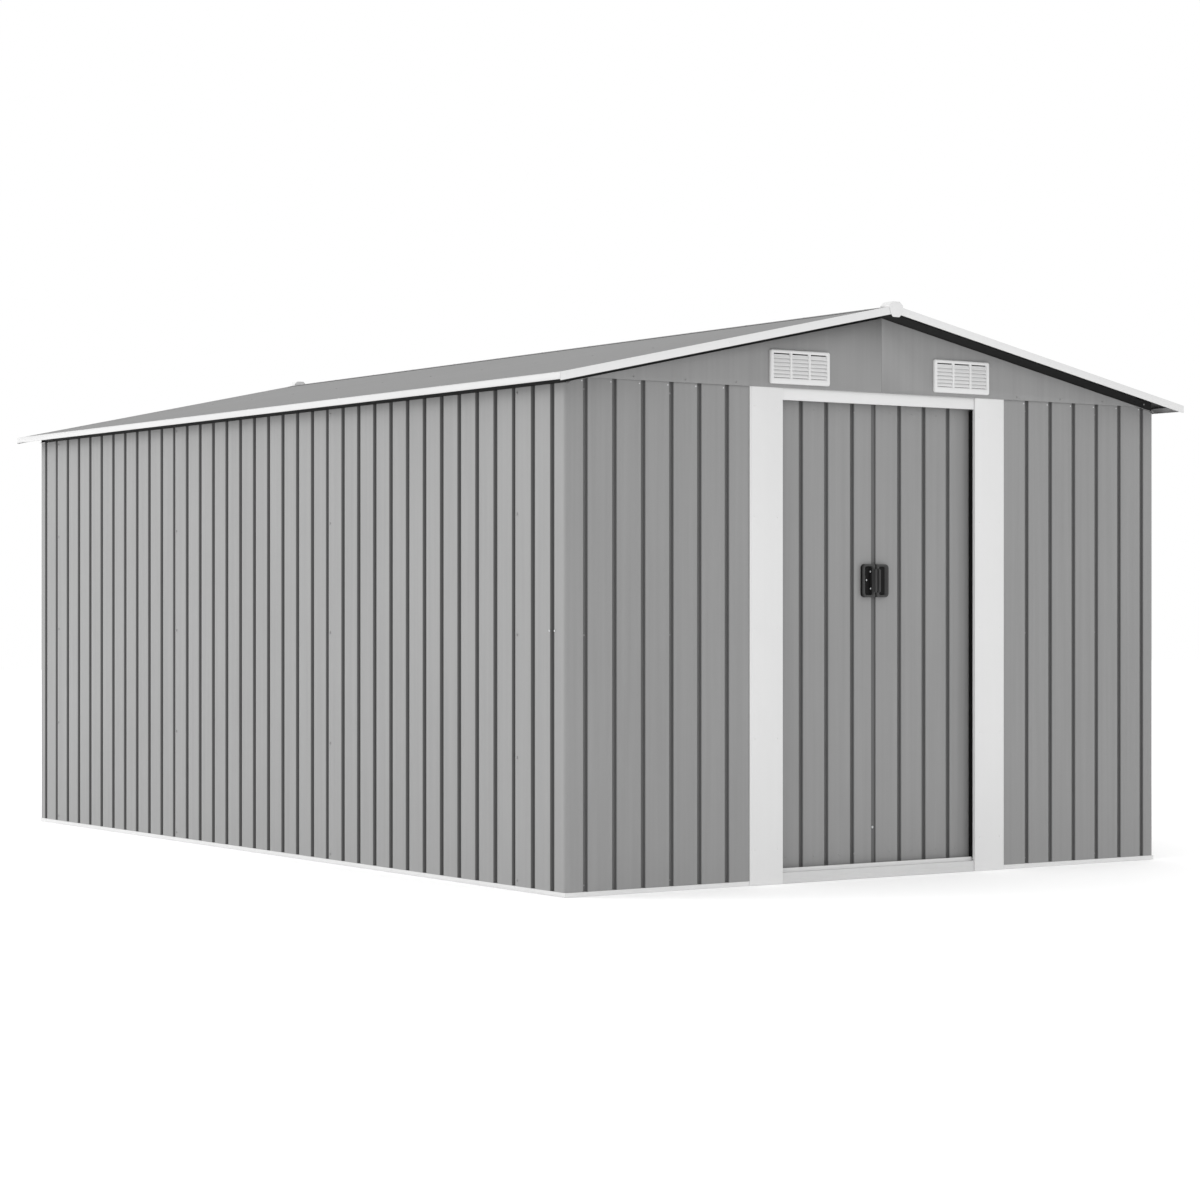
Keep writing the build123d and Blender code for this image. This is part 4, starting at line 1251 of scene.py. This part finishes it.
class SHED_OT_seals(bpy.types.Operator):
    """Fit the black lip seals behind the jambs' inner edges, a little clear of the doors. Their
    near-black is partly the rubber's own colour and partly painted shade for the gap behind the
    jambs
    """

    bl_idname = "shed.seals"
    bl_label = "Seals"

    def execute(self, context):
        share, half = np.array(SEAL_SECTION).T
        depth = SEAL_DEPTHS[0] + share * (SEAL_DEPTHS[1] - SEAL_DEPTHS[0])
        foot = corners_of("door_left")[0][2] + SEAL_END
        head = corners_of("door_lintel")[0][2] - SEAL_END
        for side, hand in SIDES:
            edge = np.abs(np.array(corners_of("jamb_" + side))[:, 0]).min() + SEAL_INSET
            x = hand * np.concatenate([edge + half, edge - half[::-1]])
            y = -HALF_LENGTH + np.concatenate([depth, depth[::-1]])
            piece = made("seal_" + side, *bar(x, y, np.array([[foot], [head]])))
            placed(piece, "seal_rubber_and_shade", "shed", "handle_black")
        return {"FINISHED"}


# Screws in the door leaves: distance from the rails' edges, from a leaf's left and right edge, and
# the share of the dents' depth at which they sit
LEAF_SCREW_INSET = 0.02
LEAF_SCREW_LEFT = 0.02
LEAF_SCREW_RIGHT = 0.06
LEAF_SCREW_SINK = 0.3
# Heights of the light rivets at the doors' meeting line
MEETING_RIVETS = (0.157,)


class SHED_OT_door_screws(bpy.types.Operator):
    """Set the screws that hold the door leaves to their rails, and the meeting line's rivets"""

    bl_idname = "shed.door_screws"
    bl_label = "Door screws"

    def execute(self, context):
        looks = context.scene.shed_looks
        for side in ("left", "right"):
            distance, depth = DOORS.read("door_" + side)
            face = distance[depth < SEAT] - HALF_WIDTH
            middles = groove_middles("door_" + side, DOORS) - HALF_WIDTH
            ends = [face.min() + LEAF_SCREW_LEFT, face.max() - LEAF_SCREW_RIGHT]
            edges = np.sort(np.concatenate([ends, middles]))
            flats = (edges[1:] + edges[:-1]) / 2
            low, high = corners_of("door_" + side + "_rails")
            x, z = crossed(flats, (low[2] + LEAF_SCREW_INSET, high[2] - LEAF_SCREW_INSET))
            places = spread(x, DOOR_FACE + looks.dent_depth * LEAF_SCREW_SINK, z)
            screws("leaf_screws_" + side, places, (0, -1, 0), LEAF_SCREW, side + "_door")
        rivets = [(0.0, DOOR_FACE + STEP_DEPTH, z) for z in MEETING_RIVETS]
        screws("meeting_rivets", rivets, (0, -1, 0), MEETING_RIVET, "right_door")
        return {"FINISHED"}


CAMERA_PLACE = (-5.9881, -9.1515, 0.8476)
CAMERA_TURN = -34.157
CAMERA_LENS = 88.35
CAMERA_SHIFT = 0.00867
SENSOR = 36.0
FLOOR_SIZE = 60.0
FLOOR_LINES = 9
FLOOR_DROP = 0.001
FLOOR_GLOW = 0.22
KEY_PLACE = (-10.0, 5.0, 5.0)
KEY_TARGET = (0.0, 0.0, 0.8)
KEY_SIZE = 6.0
FAR_CLIP = 200


def area_light(name, place, target, size, power):
    """A large soft light at a place, turned to a target."""
    data = bpy.data.lights.new(name, "AREA")
    data.shape = "DISK"
    data.size = size
    data.energy = power
    light = bpy.data.objects.new(name, data)
    light.location = place
    way = np.array(target, float) - np.array(place, float)
    light.rotation_euler = Vector(way).to_track_quat("-Z", "Y").to_euler()
    bpy.context.scene.collection.objects.link(light)
    return light


class SHED_OT_stage(bpy.types.Operator):
    """Set up the pale floor, the soft light and the camera"""

    bl_idname = "shed.stage"
    bl_label = "Stage"

    def execute(self, context):
        looks = context.scene.shed_looks
        scene = context.scene
        scene.view_settings.view_transform = "Standard"
        world = bpy.data.worlds.new("surround")
        world.use_nodes = True
        background = world.node_tree.nodes["Background"]
        background.inputs["Color"].default_value = (1, 1, 1, 1)
        background.inputs["Strength"].default_value = looks.sky
        scene.world = world
        grid = np.linspace(-FLOOR_SIZE / 2, FLOOR_SIZE / 2, FLOOR_LINES)
        x, y = np.meshgrid(grid, grid, indexing="ij")
        points = spread(x, y, -FLOOR_DROP).reshape(-1, 3)
        mesh = bpy.data.meshes.new("floor")
        quads = grid_faces(np.arange(x.size).reshape(x.shape))[:, ::-1]
        mesh.from_pydata(points.tolist(), [], quads.tolist())
        floor = bpy.data.objects.new("floor", mesh)
        scene.collection.objects.link(floor)
        paint = Paint("floor_paint")
        cloud = paint.noise(0.6, 2.0)
        pale = opaque(looks.floor_colour)
        put_material(floor, paint.finish(
            Base_Color=paint.blend(cloud, opaque(looks.floor_colour, 0.98), pale), Roughness=0.9,
            Specular_IOR_Level=0.1, Emission_Color=(1, 1, 1, 1), Emission_Strength=FLOOR_GLOW,
        ))
        area_light("key", KEY_PLACE, KEY_TARGET, KEY_SIZE, looks.key_power)
        camera = bpy.data.cameras.new("camera")
        camera.lens = CAMERA_LENS
        camera.sensor_width = SENSOR
        camera.sensor_fit = "HORIZONTAL"
        camera.shift_y = CAMERA_SHIFT
        camera.clip_end = FAR_CLIP
        viewer = bpy.data.objects.new("camera", camera)
        viewer.location = CAMERA_PLACE
        viewer.rotation_euler = (radians(90), 0, radians(CAMERA_TURN))
        scene.collection.objects.link(viewer)
        scene.camera = viewer
        return {"FINISHED"}


class SHED_PT_panel(bpy.types.Panel):
    """The shed's sizes, colours and steps"""

    bl_idname = "SHED_PT_panel"
    bl_label = "Shed"
    bl_space_type = "VIEW_3D"
    bl_region_type = "UI"
    bl_category = "Shed"

    def draw(self, context):
        looks = context.scene.shed_looks
        for key in ShedLooks.__annotations__:
            self.layout.prop(looks, key)
        for step in STEPS:
            self.layout.operator(step.bl_idname)


STEPS = (
    SHED_OT_finishes, SHED_OT_wall_sheets, SHED_OT_door_leaves, SHED_OT_trims, SHED_OT_vents,
    SHED_OT_handles, SHED_OT_wall_screws, SHED_OT_trim_screws, SHED_OT_roof_screws,
    SHED_OT_seals, SHED_OT_door_screws, SHED_OT_stage,
)
CLASSES = (ShedLooks, *STEPS, SHED_PT_panel)


def register():
    for item in CLASSES:
        bpy.utils.register_class(item)
    bpy.types.Scene.shed_looks = PointerProperty(type=ShedLooks)


def unregister():
    del bpy.types.Scene.shed_looks
    for item in reversed(CLASSES):
        bpy.utils.unregister_class(item)


def main():
    """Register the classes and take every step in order."""
    register()
    bpy.ops.shed.finishes()
    bpy.ops.shed.wall_sheets()
    bpy.ops.shed.door_leaves()
    bpy.ops.shed.trims()
    bpy.ops.shed.vents()
    bpy.ops.shed.handles()
    bpy.ops.shed.wall_screws()
    bpy.ops.shed.trim_screws()
    bpy.ops.shed.roof_screws()
    bpy.ops.shed.seals()
    bpy.ops.shed.door_screws()
    bpy.ops.shed.stage()


if __name__ == "__main__":
    main()
